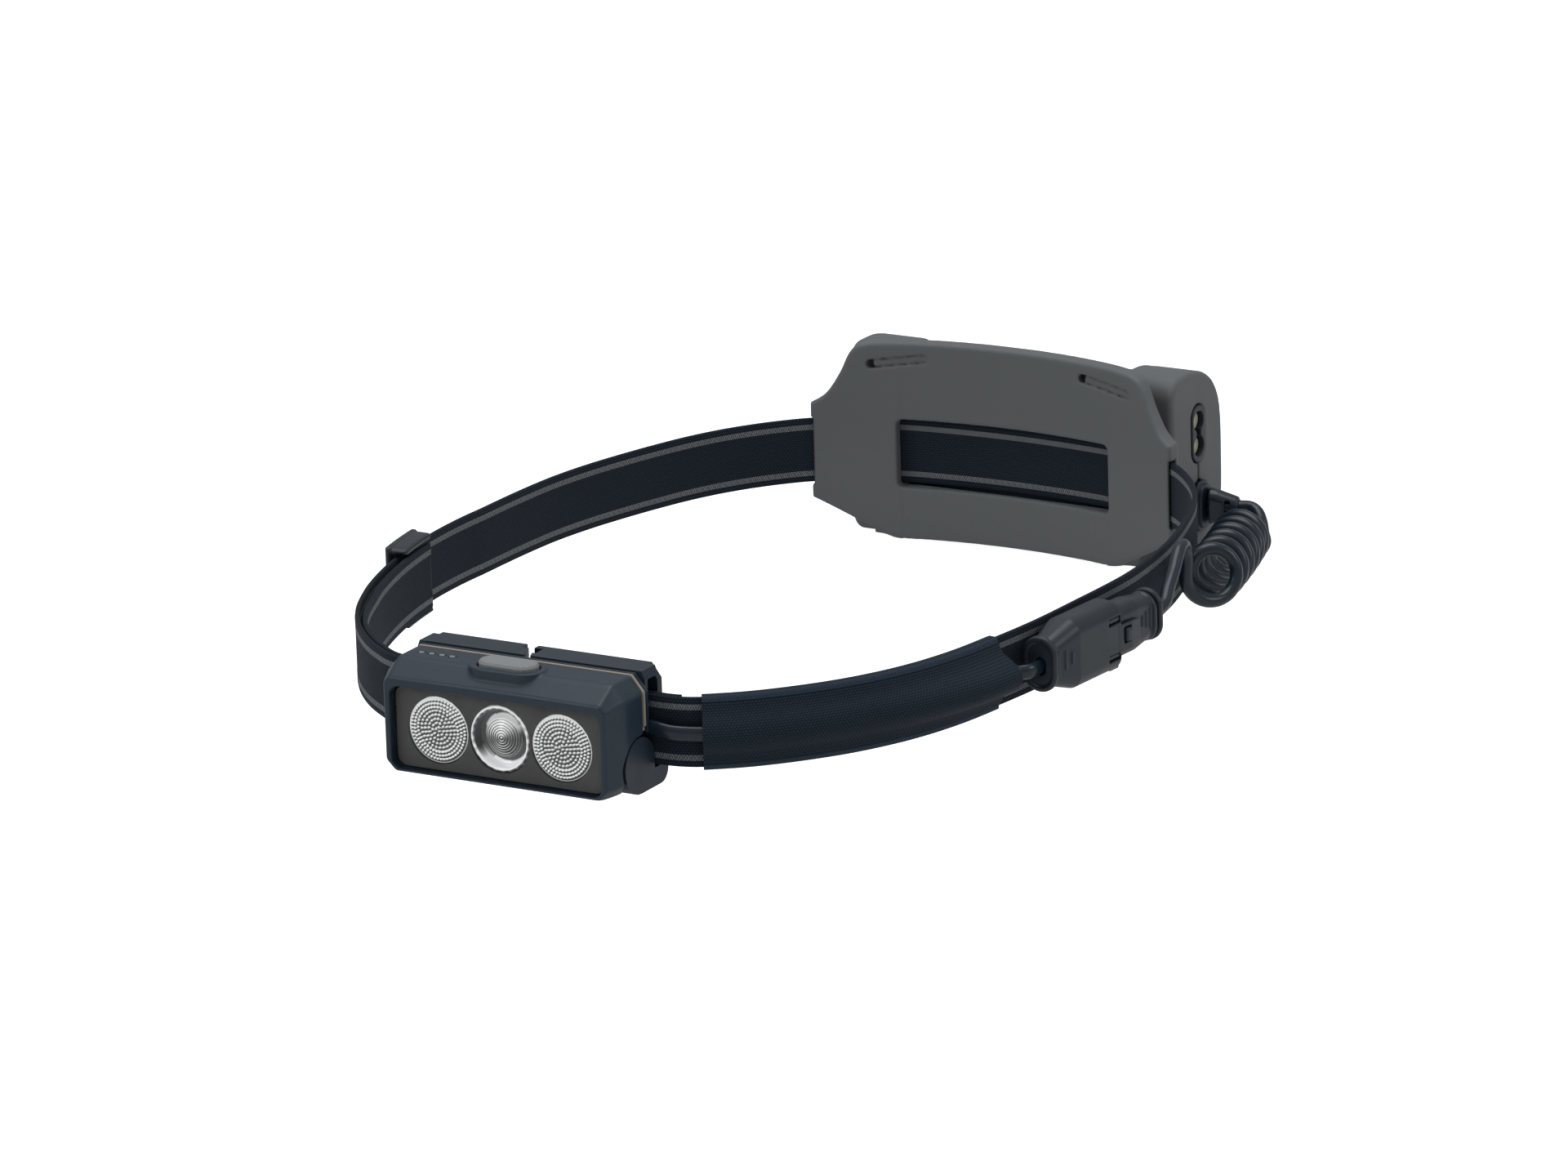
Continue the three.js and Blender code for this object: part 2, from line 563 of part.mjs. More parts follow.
function bracketLips() {
  return prismZ(RIGHT_LIP, 10.9, BRACKET_TOP)
    .add(prismZ(LEFT_LIP, 10.9, BRACKET_TOP))
    .subtract(prismY(LIP_CORNER, -110, -95))
    .subtract(prismY(mirrored(LIP_CORNER), -110, -95))
    // short down-turned hooks in front
    .add(box(5.2, BRACKET_HALF, LIP_FRONT_Y, -104.9, 9.0, 11.2))
    .add(box(-BRACKET_HALF, -9.5, LIP_FRONT_Y, -104.9, 9.0, 11.2));
}
function headBracket() {
  const pinHoles = pair(24, 27.6, (from, to) => rodX(PIN_R + 0.02, from, to, PIVOT_Y, PIVOT_Z, 20));
  const lowerEdge = [[-102.2, -12.6], ...arc(-102.2, -9, 3, -90, 0, 8), [-98.6, -9], [-98.6, -12.6]];
  return prismY(BRACKET_OUTLINE, -101.0, BRACKET_BACK_Y)
    .add(bracketLips())
    // threading gap, in front of the plate and through its top edge
    .subtract(prismY([[-1.5, 8], [0.2, 8], [0.2, 14], [-1.5, 14]], -104, -100.9))
    .subtract(prismY([[-4.6, 8], [-1.9, 8], [-1.9, 14], [-4.6, 14]], -101.4, -99))
    // shelf below the band
    .add(box(-EAR_OUTER_X, EAR_OUTER_X, -104.4, BRACKET_BACK_Y, BRACKET_BOTTOM, -10.2))
    .add(pair(EAR_INNER_X, EAR_OUTER_X, (from, to) => prismX(EAR_PROFILE, from, to)))
    .subtract(pinHoles)
    // round the lower rear edge
    .subtract(prismX(lowerEdge, -40, 40));
}
const tiltPin = (from, to) => rodX(PIN_R - 0.02, from, to, PIVOT_Y, PIVOT_Z, 20);

// ---------------------------------------------------------------- front cable and fabric sleeve
const rightBand = sampled([...FRONT_CURVE.slice(1), ...RIGHT_SIDE], false, 42);
const rightNormals = normalsOf(rightBand, false);
const stationAtX = (limit) => rightBand.findIndex(([x]) => x >= limit);
const SLEEVE_START = stationAtX(38.2);
const SLEEVE_END = rightBand.findIndex(([x, y]) => y >= -41.2 && x > 40);
const SLEEVE_STATIONS = SLEEVE_END - SLEEVE_START;
// a point the given distance outward of the band's centreline
function besideBand(station, outward, z) {
  const [x, y] = rightBand[station];
  const [nx, ny] = rightNormals[station];
  return [x + nx * outward, y + ny * outward, z];
}
// flat behind the band, bulging over the cable; (outward of the band's face, z) for the
// upper half, from the front bulge to the edge
const SLEEVE_OUTER = [[3.95, 1.2], [3.2, 2.9], [1.5, 4.6], [1.0, 6.6], [0.55, 7.9]];
const SLEEVE_INNER = [[3.25, 1.0], [2.5, 2.4], [0.7, 4.2], [0.45, 6.4], [0.3, 7.65]];
function sleeveOutline(half, behind) {
  const upper = half.map(([outward, z]) => [HALF_BAND + outward, z]);
  const lower = upper.map(([outward, z]) => [outward, -z]).reverse();
  const edge = half[half.length - 1][1];
  return [[-HALF_BAND - behind, -edge], ...lower, ...upper, [-HALF_BAND - behind, edge]];
}
function cableSleeve() {
  const flat = HALF_BAND + 0.56;    // only what stands out beyond this grows
  const place = (outward, up, station) => {
    // the cable leaves the band near the sleeve's end
    const lift = smoothstep(station / SLEEVE_STATIONS, 0.4, 1.0) * 3.4;
    const grown = outward > flat ? flat + (outward - flat) * (1 + lift / 3.2) : outward;
    return besideBand(SLEEVE_START + station, grown, up);
  };
  return swept(sleeveOutline(SLEEVE_OUTER, 0.95), SLEEVE_STATIONS, place,
    [sleeveOutline(SLEEVE_INNER, GAP)]);
}

const connectorRun = CONNECTOR_REAR.map((value, i) => value - CONNECTOR_FRONT[i]);
const [AXIS_X, AXIS_Y] = connectorRun.map((value) => value / Math.hypot(...connectorRun));
const onConnectorAxis = (distance) => [
  CONNECTOR_FRONT[0] + AXIS_X * distance, CONNECTOR_FRONT[1] + AXIS_Y * distance, 0,
];

function frontCablePath() {
  const path = [
    [19.7, -105.4, ENTRY_Z], [24.5, -105.4, ENTRY_Z], [28.5, -105.4, 0.9], [33.0, -105.3, 0.4],
  ];
  const onBand = HALF_BAND + 0.55 + LEAD_WIDTH / 2;
  for (let i = stationAtX(37); i + 2 < SLEEVE_END; i += 2) {
    const share = Math.max(0, (i - SLEEVE_START) / SLEEVE_STATIONS);
    path.push(besideBand(i, onBand + smoothstep(share, 0.5, 1.0) * 2.0, 0.2 * (1 - share)));
  }
  path.push(besideBand(SLEEVE_END, onBand + 2.3, 0));
  path.push(onConnectorAxis(-5.5), onConnectorAxis(-1.2), onConnectorAxis(6));
  return path;
}
// oval lead that keeps its tall side upright
function frontCable() {
  const steps = 36;
  const points = curveThrough(frontCablePath()).getSpacedPoints(steps);
  return swept(ellipse(LEAD_WIDTH, LEAD_HEIGHT, 8), steps, (outward, up, station) => {
    const before = points[Math.max(station - 1, 0)];
    const tangent = points[Math.min(station + 1, steps)].clone().sub(before).normalize();
    const side = new THREE.Vector3(tangent.y, -tangent.x, 0).normalize();
    const upward = side.clone().cross(tangent);
    return points[station].clone()
      .addScaledVector(side, outward).addScaledVector(upward, up).toArray();
  });
}

// ---------------------------------------------------------------- connector
// Drawn along +Y from near its front disc, then turned on to its axis.
const SHELL_Z = 0.6;          // the shells sit a little above the cable's line
const PIN_Z = 1.9;            // contacts above and below the cable's line
function placeConnector(solid) {
  return solid.rotate([0, 0, radToDeg(-Math.atan2(AXIS_X, AXIS_Y))])
    .translate([...CONNECTOR_FRONT, 0]);
}
const ovalDisc = (width, height, radius, from, to, steps = 5) => (
  prismY(roundRect(0, SHELL_Z, width, height, radius, steps), from, to));
const ovalAt = (y, width, height, radius, midZ = SHELL_Z) => (
  roundRect(0, midZ, width, height, radius, 3).map(([x, z]) => [x, y, z]));
const rectAt = (y, xMin, xMax, zMin, zMax) => [
  [xMin, y, zMin], [xMax, y, zMin], [xMin, y, zMax], [xMax, y, zMax],
];
// raised ribs on both faces; rows are (y, half height, x of the face)
function gripRibs(rows, { inward, outward, halfWidth, midZ }) {
  return Manifold.union(rows.map(([y, half, x]) => (
    boxPair(x - inward, x + outward, y - halfWidth, y + halfWidth, midZ - half, midZ + half))));
}
function socketBody() {
  return prismY(roundRect(0, 0.5, 8.4, 12.0, 4.15), -2.1, -0.75)
    .subtract(prismY(roundRect(0, 0.4, 5.8, 8.6, 2.8, 4), -3, -1.2))
    .add(hull([
      ...ovalAt(-0.9, 6.5, 10.0, 3.0, 0.5), ...ovalAt(7.2, 8.7, 15.0, 3.4),
      ...ovalAt(7.3, 8.7, 15.0, 3.4),
    ]))
    .add(hull([
      ...ovalAt(7.2, 8.8, 15.2, 3.4), ...ovalAt(22.8, 8.8, 15.2, 3.4),
      ...ovalAt(23.3, 8.4, 14.8, 3.2),
    ]))
    // lip under the mouth
    .add(box(-2.6, 2.9, 23.0, 24.5, -6.9, -6.0))
    // plug recess, cable bore and the step between them
    .subtract(ovalDisc(7.0, 9.2, 2.4, 8, 31))
    .subtract(prismY(stadium(0, 0, LEAD_WIDTH + 0.5, LEAD_HEIGHT + 0.5, 5), -5, 3.3))
    .subtract(prismY(roundRect(0, 0.3, 3.4, 5.6, 1.2, 3), 2.8, 9));
}
function connectorSocket() {
  let socket = socketBody();
  // latch windows
  for (const z of [-3.4, 4.55]) {
    socket = socket.subtract(box(2.7, 6, 18.4, 23.0, z - 0.65, z + 0.65));
  }
  const ribRows = [[0.1, 2.9, 3.35], [2.5, 2.2, 3.72], [4.6, 1.35, 4.0]];
  // tongue that laps over the plug, with a raised grip
  return socket
    .add(hull([...rectAt(22, 3.85, 4.4, -2.9, 3.0), ...rectAt(27.6, 3.85, 4.4, -2.9, 3.0)]))
    .add(hull([...rectAt(27.4, 3.85, 4.4, -2.9, 3.0), ...rectAt(30.9, 3.75, 4.15, -2.6, 2.4)]))
    .subtract(box(4.1, 5, 24.1, 26.9, -1.2, 2.2))
    .add(box(3.9, 4.95, 24.6, 26.6, -0.95, 1.9))
    .add(gripRibs(ribRows, { inward: 0.3, outward: 0.22, halfWidth: 0.3, midZ: 0.75 }));
}
function connectorPlug() {
  const ribRows = [[32.8, 1.25, 3.35], [34.5, 1.8, 3.15], [36.1, 2.3, 2.95]];
  const sealGroove = ovalDisc(7.2, 9.4, 2.4, 13.0, 14.4)
    .subtract(ovalDisc(5.3, 7.5, 1.8, 12, 15));
  return hull([
    ...ovalAt(23.8, 7.0, 11.6, 2.8), ...ovalAt(31.0, 7.0, 11.6, 2.8),
    ...ovalAt(37.4, 6.2, 9.8, 2.6),
  ])
    // discs and neck at the rear end
    .add(ovalDisc(7.6, 10.8, 3.75, 37.0, 38.1))
    .add(ovalDisc(6.2, 9.2, 2.9, 37.5, 39.3, 4))
    .add(ovalDisc(8.0, 11.4, 3.95, 39.0, 40.3))
    // nose inside the socket
    .add(ovalDisc(6.3, 8.5, 2.1, 11.0, 24))
    .subtract(rodY(CABLE_R + 0.15, 34.5, 46, 0, 0, 20))
    .add(gripRibs(ribRows, { inward: 0.4, outward: 0.3, halfWidth: 0.25, midZ: 1.2 }))
    .subtract(sealGroove)
    .subtract(rodY(0.75, 10, 17.5, 0, -PIN_Z, 14))
    .subtract(rodY(0.75, 10, 17.5, 0, PIN_Z, 14));
}
function connectorSeal() {
  return ovalDisc(6.75, 8.95, 2.3, 13.3, 14.1).subtract(ovalDisc(5.6, 7.8, 1.9, 12, 15));
}
const socketPin = (z) => rodY(0.5, 6.4, 16.5, 0, z, 14);

// ---------------------------------------------------------------- spring coil and its leads
const UP = new THREE.Vector3(0, 0, 1);
const COIL_R = 5.3;
const COIL_FIRST = -12;       // winding angles in degrees
const COIL_LAST = 2322;
const COIL_STEP = 30;
const COIL_START = new THREE.Vector3(78.5, 48.8, -2.0);
const COIL_END = new THREE.Vector3(53.2, 112.4, -13.4);
const COIL_LEAD = [           // (x, y, z) from the connector to the coil
  [83.6, 15.6, 0.8], [82.8, 19.1, 2.9], [82.2, 21.8, 4.3], [81.5, 24.6, 5.7], [80.9, 27.0, 7.3],
  [80.3, 29.5, 8.7], [79.7, 32.3, 8.9], [79.2, 34.6, 7.2], [78.8, 35.7, 4.4],
];
const COIL_TAIL = [           // (x, y, z) from the coil into the boot
  [57.6, 113.9, -12.8], [56.6, 115.0, -10.6], [55.0, 116.3, -9.0], [53.0, 117.0, -8.3],
  [50.5, 116.6, -8.3], [47.0, 115.3, -8.4],
];
function coilPoints() {
  const along = COIL_END.clone().sub(COIL_START).normalize();
  const side = along.clone().cross(UP).normalize();
  const upward = side.clone().cross(along);
  const bow = new THREE.Vector3(0.48, -0.83, 0.286).normalize();  // curves it round the band
  const angles = [];
  for (let i = COIL_FIRST; i < COIL_LAST; i += COIL_STEP) angles.push(i);
  angles.push(COIL_LAST);
  // starts towards the band, then goes under, outward and over
  return angles.map((degrees) => {
    const angle = degToRad(degrees);
    const share = Math.max(0, degrees / COIL_LAST);
    const bend = 3 * Math.cos(angle) * (1 - share) + 36 * share * (1 - share);
    return COIL_START.clone().lerp(COIL_END, (degrees - 270) / 2052)
      .addScaledVector(side, -COIL_R * Math.cos(angle))
      .addScaledVector(upward, -COIL_R * Math.sin(angle))
      .addScaledVector(bow, bend).toArray();
  });
}
function coilCable() {
  const start = [onConnectorAxis(35.2), onConnectorAxis(41)];
  return tube([...start, ...COIL_LEAD, ...coilPoints(), ...COIL_TAIL], CABLE_R, 230, 6);
}

// ---------------------------------------------------------------- flange and boot on the pack's end
const glandOutline = (lessWidth, lessLength) => (
  stadium(GLAND_Y, GLAND_Z, GLAND_WIDTH - lessWidth, GLAND_LENGTH - lessLength));
const portOutline = (grow) => stadium(PORT_Y, PORT_Z, PORT_WIDTH + grow, PORT_LENGTH + grow);

function cableGland() {
  const end = HOLDER_END_X;
  return prismX(glandOutline(0.9, 1.0), 37.4, end + 0.4)
    .add(prismX(glandOutline(0, 0), end + 0.35, end + 1.1))
    .add(prismX(glandOutline(1.4, 1.6), end + 1.0, end + 1.9))
    .subtract(rodX(1.0, 36, 50, GLAND_Y, GLAND_Z, 16));
}
// strain relief boot
function cableBoot() {
  const start = new THREE.Vector3(HOLDER_END_X + 2.9, GLAND_Y + 0.3, GLAND_Z);
  const end = new THREE.Vector3(50.4, 116.55, -8.3);
  const along = end.clone().sub(start).normalize();
  const side = UP.clone().cross(along).normalize();
  const ringAt = (distance, width, height) => ellipse(width, height, 14).map(([across, up]) => (
    start.clone().addScaledVector(along, distance)
      .addScaledVector(side, across).addScaledVector(UP, up).toArray()));
  const body = hull([
    ...ringAt(0, 5.0, 8.6), ...ringAt(1.6, 4.9, 7.6), ...ringAt(start.distanceTo(end), 4.5, 4.7),
  ]);
  const turn = new THREE.Quaternion().setFromUnitVectors(new THREE.Vector3(0, 1, 0), along);
  const bore = new THREE.CylinderGeometry(CABLE_R + 0.2, CABLE_R + 0.2, 12, 18)
    .applyQuaternion(turn)
    .translate(...start.clone().addScaledVector(along, 7).toArray());
  return body.subtract(solidOf(bore)).subtract(box(45.6, 47.0, 108, 115.2, -11.5, -5.3));
}

// ---------------------------------------------------------------- battery holder
// soft curve at the back of a pocket, as (y, distance in from the top or bottom)
const POCKET_BACK = [
  [110.5, 0], [113, 0.2], [115.4, 0.7], [117.6, 1.3], [119.6, 2.2], [122.2, 4.0],
  [124.4, 6.8], [125.7, 9.9], [126.3, 13.7], [126.5, 18.2],
];
// end view of a pocket, as (y, z): round corners towards the head, the soft curve behind
const POCKET_OUTLINE = (() => {
  const top = PACK_MID_Z + PACK_HALF_Z + GAP + SIDE_SKIN;
  const bottom = PACK_MID_Z - PACK_HALF_Z - GAP - SIDE_SKIN;
  const radius = 4.8;
  const y = 101.9 + radius;
  return [
    ...arc(y, bottom + radius, radius, 180, 270, 4),
    ...POCKET_BACK.map(([back, inward]) => [back, bottom + inward]),
    ...POCKET_BACK.map(([back, inward]) => [back, top - inward]).reverse(),
    ...arc(y, top - radius, radius, 90, 180, 4),
  ];
})();
// left-hand normal of the edge between two points
function edgeNormal(from, to) {
  const dx = to[0] - from[0];
  const dy = to[1] - from[1];
  const length = Math.hypot(dx, dy);
  return [-dy / length, dx / length];
}
// moves a counter-clockwise outline inwards with mitred corners
function inset(outline, distance) {
  const count = outline.length;
  return outline.map((point, i) => {
    const before = edgeNormal(outline[(i + count - 1) % count], point);
    const after = edgeNormal(point, outline[(i + 1) % count]);
    const mitre = [before[0] + after[0], before[1] + after[1]];
    const scale = 2 * distance / (mitre[0] ** 2 + mitre[1] ** 2);
    return [point[0] + mitre[0] * scale, point[1] + mitre[1] * scale];
  });
}
// the battery case's outline grown by a distance; flat towards the head
function packOutline(grow) {
  const outline = [];
  for (const [y, z] of inset(POCKET_OUTLINE, SIDE_SKIN + GAP - grow)) {
    const point = [Math.max(y, PACK_FRONT_Y - grow), z];
    const last = outline[outline.length - 1];
    if (!last || Math.hypot(point[0] - last[0], point[1] - last[1]) > 0.05) outline.push(point);
  }
  return outline;
}
// right half of the back plate as (x, z), lower edge outwards then upper edge back
const PLATE_HALF = [
  [8, -20.1], [20, -20.1], [27, -20.0], [31, -18.7], [36, -16.3], [41, -13.6], [46, -10.9],
  [46, 11.4], [44.2, 12.4], [42.5, 13.8], [40.6, 16.6], [39.0, 19.6], [37.8, 22.4],
  [36.4, 24.4], [34.2, 25.4], [30, 25.9], [20, 26.2], [8, 26.3],
];
// upright curved wall about the plate's centre
function plateWall(inner, outer) {
  const edge = (radius, from, to) => arc(0, PLATE_CENTRE_Y, radius, 90 - from, 90 - to, 28);
  return prismZ([...edge(outer, 26, -26), ...edge(inner, -26, 26)], -40, 40);
}
// passage for the band, open at both ends
function bandChannel() {
  const stations = loop.map((_, i) => i).filter((i) => loop[i][1] > 80 && Math.abs(loop[i][0]) < 58);
  const path = stations.map((i) => loop[i]);
  const normals = stations.map((i) => loopNormals[i]);
  return prismZ(strip(path, normals, HALF_BAND + 0.45, -HALF_BAND - 0.3), -7.9, 7.9);
}
const behindBand = () => box(-31, 31, 102.6, 110, -8.6, 8.6);
// slanting slot above the plate's window
function plateSlot(side) {
  const inner = [side * 20.2, 22.5];
  const outer = [side * 32.6, 20.75];
  const heading = radToDeg(Math.atan2(outer[1] - inner[1], outer[0] - inner[0]));
  return prismY([
    ...arc(...outer, 1.0, heading - 90, heading + 90, 3),
    ...arc(...inner, 1.0, heading + 90, heading + 270, 3),
  ], 80, 102.5);
}
function backPlate() {
  const outline = [...PLATE_HALF, ...mirrored(PLATE_HALF).reverse()];
  const windowOutline = roundRect(0, 0, PLATE_WINDOW_WIDTH, PLATE_WINDOW_HEIGHT, 1.4, 3);
  return prismY(outline, 60, 130)
    .intersect(plateWall(PLATE_R, PLATE_R + PLATE_THICK))
    .subtract(box(-30, 30, PACK_FRONT_Y - GAP, 140,
      PACK_MID_Z - PACK_HALF_Z - GAP, PACK_MID_Z + PACK_HALF_Z + GAP))
    .subtract(bandChannel())
    .subtract(behindBand())
    .subtract(prismY(windowOutline, 80, 102.8))
    .subtract(plateSlot(-1))
    .subtract(plateSlot(1));
}
function pocket(side) {
  const edge = 1.3;           // bevel round the end
  const rings = [[0, POCKET_INNER_X], [0, HOLDER_END_X - edge], [edge, HOLDER_END_X]];
  const body = hull(rings.flatMap(([inward, x]) => (
    inset(POCKET_OUTLINE, inward).map(([y, z]) => [side * x, y, z]))));
  const depth = PACK_X + GAP;
  if (side < 0) return body.subtract(prismX(packOutline(GAP), -depth, 0));
  return body.subtract(prismX(packOutline(GAP), 0, depth))
    .subtract(prismX(portOutline(0.2), 38, 45))
    .subtract(prismX(glandOutline(0.3, 0.4), 38, 45))
    // slit that lets the cable pass
    .subtract(box(38, 45, PORT_Y - 0.3, PORT_Y + 0.3, -4, 3));
}
// webs joining pockets and plate
function pocketWebs() {
  return boxPair(27, 33.5, 98.5, 104.2, -19.6, 21.5)
    .subtract(bandChannel())
    .subtract(plateWall(20, PLATE_R + 0.6))
    .subtract(prismX(packOutline(GAP), -50, 50))
    .subtract(behindBand());
}
const batteryHolder = () => backPlate().add(pocket(-1)).add(pocket(1)).add(pocketWebs());

// ---------------------------------------------------------------- battery case and its contents
function batteryCase() {
  return prismX(packOutline(0), -PACK_X, 35.6)
    .subtract(prismX(packOutline(-0.8), -PACK_X + 1.4, 40));
}
const caseSeal = () => prismX(packOutline(0), 35.8, 36.4, [packOutline(-1.6)]);
function batteryEndCap() {
  const [upper, lower] = PORT_CONTACT_Z;
  return prismX(packOutline(0), 36.6, PACK_X)
    .subtract(prismX(glandOutline(0.3, 0.4), 37.1, 45))
    .subtract(rodX(1.3, 36, 38, GLAND_Y, GLAND_Z, 16))
    .subtract(prismX(portOutline(-1.2), 38.4, 45))
    .subtract(rodX(1.3, 36, 39, PORT_Y, lower, 16))
    .subtract(rodX(1.3, 36, 39, PORT_Y, upper, 16));
}
function cell(z) {
  return rodX(CELL_R, -32.6, 32.4, CELL_Y, z, 32).add(rodX(2.8, 32.3, 33.1, CELL_Y, z, 18));
}
// three turns, narrowing towards the cell
function contactSpring(z) {
  const points = Array.from({ length: 31 }, (_, i) => {
    const angle = 2 * Math.PI * i / 10;
    const radius = 4.2 - 1.4 * i / 30;
    const x = -37.2 + 3.9 * i / 30;
    return [x, CELL_Y + radius * Math.cos(angle), z + radius * Math.sin(angle)];
  });
  return tube(points, 0.4, 34, 5);
}
const contactPlate = () => (
  box(33.3, 33.7, CELL_Y - 4, CELL_Y + 4, CELL_LOWER_Z - 4, CELL_UPPER_Z + 4));
function batteryBoard() {
  return box(33.9, 34.9, CELL_Y - 7.5, CELL_Y + 5, PACK_MID_Z - 15, PACK_MID_Z + 15)
    .add(box(34.8, 35.4, CELL_Y - 3, CELL_Y + 3, -4, 2));
}
// surround with a figure-of-eight recess
function chargePort() {
  const [upper, lower] = PORT_CONTACT_Z;
  let port = prismX(portOutline(-0.4), PACK_X + 0.1, HOLDER_END_X + 0.15)
    .add(prismX(portOutline(-1.8), 38.7, HOLDER_END_X));
  for (const z of PORT_CONTACT_Z) {
    port = port.subtract(rodX(2.35, 39.6, 43, PORT_Y, z, 16))
      .subtract(rodX(1.0, 36, 43, PORT_Y, z, 12));
  }
  return port.subtract(box(39.6, 43, PORT_Y - 0.9, PORT_Y + 0.9, lower, upper));
}
function chargeContact(z) {
  return rodX(0.7, 36.0, 39.6, PORT_Y, z, 14)
    .add(rodX(1.95, 39.9, 40.35, PORT_Y, z, 20))
    .add(rodX(0.7, 39.4, 40.1, PORT_Y, z, 14));
}

// ---------------------------------------------------------------- assembly
const root = new THREE.Group();
root.name = 'headlamp';
const drawn = new THREE.Group();
drawn.position.set(0, FRAME_SHIFT, 0);
root.add(drawn);
function put(name, solid, look) {
  const mesh = new THREE.Mesh(geometryOf(solid), new THREE.MeshStandardMaterial(look));
  mesh.name = name;
  drawn.add(mesh);
}

put('headband', headband(), finish.fabric);
put('adjuster_strap', adjusterStrap(), finish.fabric);
put('strap_slider', strapSlider(), finish.slider);

put('lamp_front_shell', lampFrontShell(), finish.shell);
put('lamp_seal', lampSeal(), finish.seal);
put('lamp_rear_shell', lampRearShell(), finish.mount);
put('lamp_screw_1', lampScrew(SCREW_X), finish.screw);
put('lamp_screw_2', lampScrew(-SCREW_X), finish.screw);
put('front_window', windowPane(0.5, 0.2, -120.0, -119.2), finish.window);
put('optic_plate', opticPlate(), finish.panel);
put('flood_optic_left', optic(FLOOD_PROFILE, OPTIC_X[0]), finish.optic);
put('spot_optic_centre', optic(SPOT_PROFILE, OPTIC_X[1]), finish.optic);
put('flood_optic_right', optic(FLOOD_PROFILE, OPTIC_X[2]), finish.optic);
['left', 'centre', 'right'].forEach((place, i) => put(`led_${place}`, led(OPTIC_X[i]), finish.led));
put('led_board', ledBoard(), finish.whiteBoard);
put('heat_spreader', heatSpreader(), finish.aluminium);
put('control_board', controlBoard(), finish.greenBoard);
put('button_board', buttonBoard(), finish.greenBoard);
put('button_switch', buttonSwitch(), finish.switch);
put('power_button', powerButton(), finish.button);
put('indicator_light_pipe', indicatorLightPipe(), finish.lightPipe);
put('lamp_cable_gland', lampCableGland(), finish.lampGland);
put('tilt_pin_left', tiltPin(-27.3, -23.4), finish.steel);
put('tilt_pin_right', tiltPin(23.4, 27.3), finish.steel);
put('head_bracket', headBracket(), finish.mount);

put('cable_sleeve', cableSleeve(), finish.sleeve);
put('front_cable', frontCable(), finish.cable);
put('connector_socket', placeConnector(connectorSocket()), finish.connector);
put('connector_plug', placeConnector(connectorPlug()), finish.connector);
put('connector_seal', placeConnector(connectorSeal()), finish.connectorSeal);
put('socket_pin_upper', placeConnector(socketPin(PIN_Z)), finish.brassPin);
put('socket_pin_lower', placeConnector(socketPin(-PIN_Z)), finish.brassPin);
put('coil_cable', coilCable(), finish.cable);
put('cable_gland', cableGland(), finish.packGland);
put('cable_boot', cableBoot(), finish.boot);

put('battery_holder', batteryHolder(), finish.holder);
put('battery_case', batteryCase(), finish.shell);
put('case_seal', caseSeal(), finish.seal);
put('battery_end_cap', batteryEndCap(), finish.shell);
put('cell_upper', cell(CELL_UPPER_Z), finish.cell);
put('cell_lower', cell(CELL_LOWER_Z), finish.cell);
put('contact_spring_upper', contactSpring(CELL_UPPER_Z), finish.steel);
put('contact_spring_lower', contactSpring(CELL_LOWER_Z), finish.steel);
put('contact_plate', contactPlate(), finish.brassPlate);
put('battery_board', batteryBoard(), finish.greenBoard);
put('charge_port', chargePort(), finish.port);
put('charge_contact_upper', chargeContact(PORT_CONTACT_Z[0]), finish.contact);
put('charge_contact_lower', chargeContact(PORT_CONTACT_Z[1]), finish.contact);

export default root;
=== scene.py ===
# Headlamp: front lamp on a tilting bracket, webbing head loop, cable with connector and coil,
# rear battery pack. Pieces are drawn in millimetres from the centre of the head loop and then
# moved into the frame, whose origin is the forehead face. The lamp faces -y, the battery pack
# is at +y and +z is up. Left is -x and right is +x.
import bmesh
import bpy
import json
import math
import numpy as np
from functools import partial, reduce
from mathutils import Matrix, Vector


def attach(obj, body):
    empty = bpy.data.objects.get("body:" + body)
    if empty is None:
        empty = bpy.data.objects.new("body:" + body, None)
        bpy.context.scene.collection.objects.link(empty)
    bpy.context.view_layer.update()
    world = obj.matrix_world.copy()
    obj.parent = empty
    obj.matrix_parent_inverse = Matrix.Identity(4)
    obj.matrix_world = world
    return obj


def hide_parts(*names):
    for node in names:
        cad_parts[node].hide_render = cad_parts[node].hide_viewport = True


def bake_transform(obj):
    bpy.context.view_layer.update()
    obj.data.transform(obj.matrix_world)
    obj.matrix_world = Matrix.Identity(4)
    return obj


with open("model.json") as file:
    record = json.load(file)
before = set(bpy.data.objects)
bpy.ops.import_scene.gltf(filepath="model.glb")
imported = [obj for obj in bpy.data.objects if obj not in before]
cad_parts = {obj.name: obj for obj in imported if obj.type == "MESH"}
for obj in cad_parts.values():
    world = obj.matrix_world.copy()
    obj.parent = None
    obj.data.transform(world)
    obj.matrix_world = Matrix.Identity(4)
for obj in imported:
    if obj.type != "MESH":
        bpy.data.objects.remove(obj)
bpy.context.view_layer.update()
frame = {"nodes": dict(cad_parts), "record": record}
nodes = frame["nodes"]

# ------------------------------------------------------------------ shared dimensions (mm)
MM = 0.001                               # metres in a millimetre
ORIGIN = np.array([0.0, 99.2, 0.0])      # from the centre of the head loop to the frame
BAND_W, BAND_T = 15.0, 1.1               # webbing
HALF_T = BAND_T / 2
LOOP_FRONT = -103.4                      # y of the loop's flat front
ARC_R, ARC_X, ARC_Y = 150.0, 73.5, -10.0     # arc of the loop's left side
STRAP_OFF, STRAP_OFF_FRONT = 2.4, 1.3    # inner strap's distance inside the loop
CABLE_R = 1.45                           # round cable of the coil
LEAD_W, LEAD_H = 2.1, 3.2                # flat cable of the front lead
GAP = 0.3                                # play between the battery pack and its holder

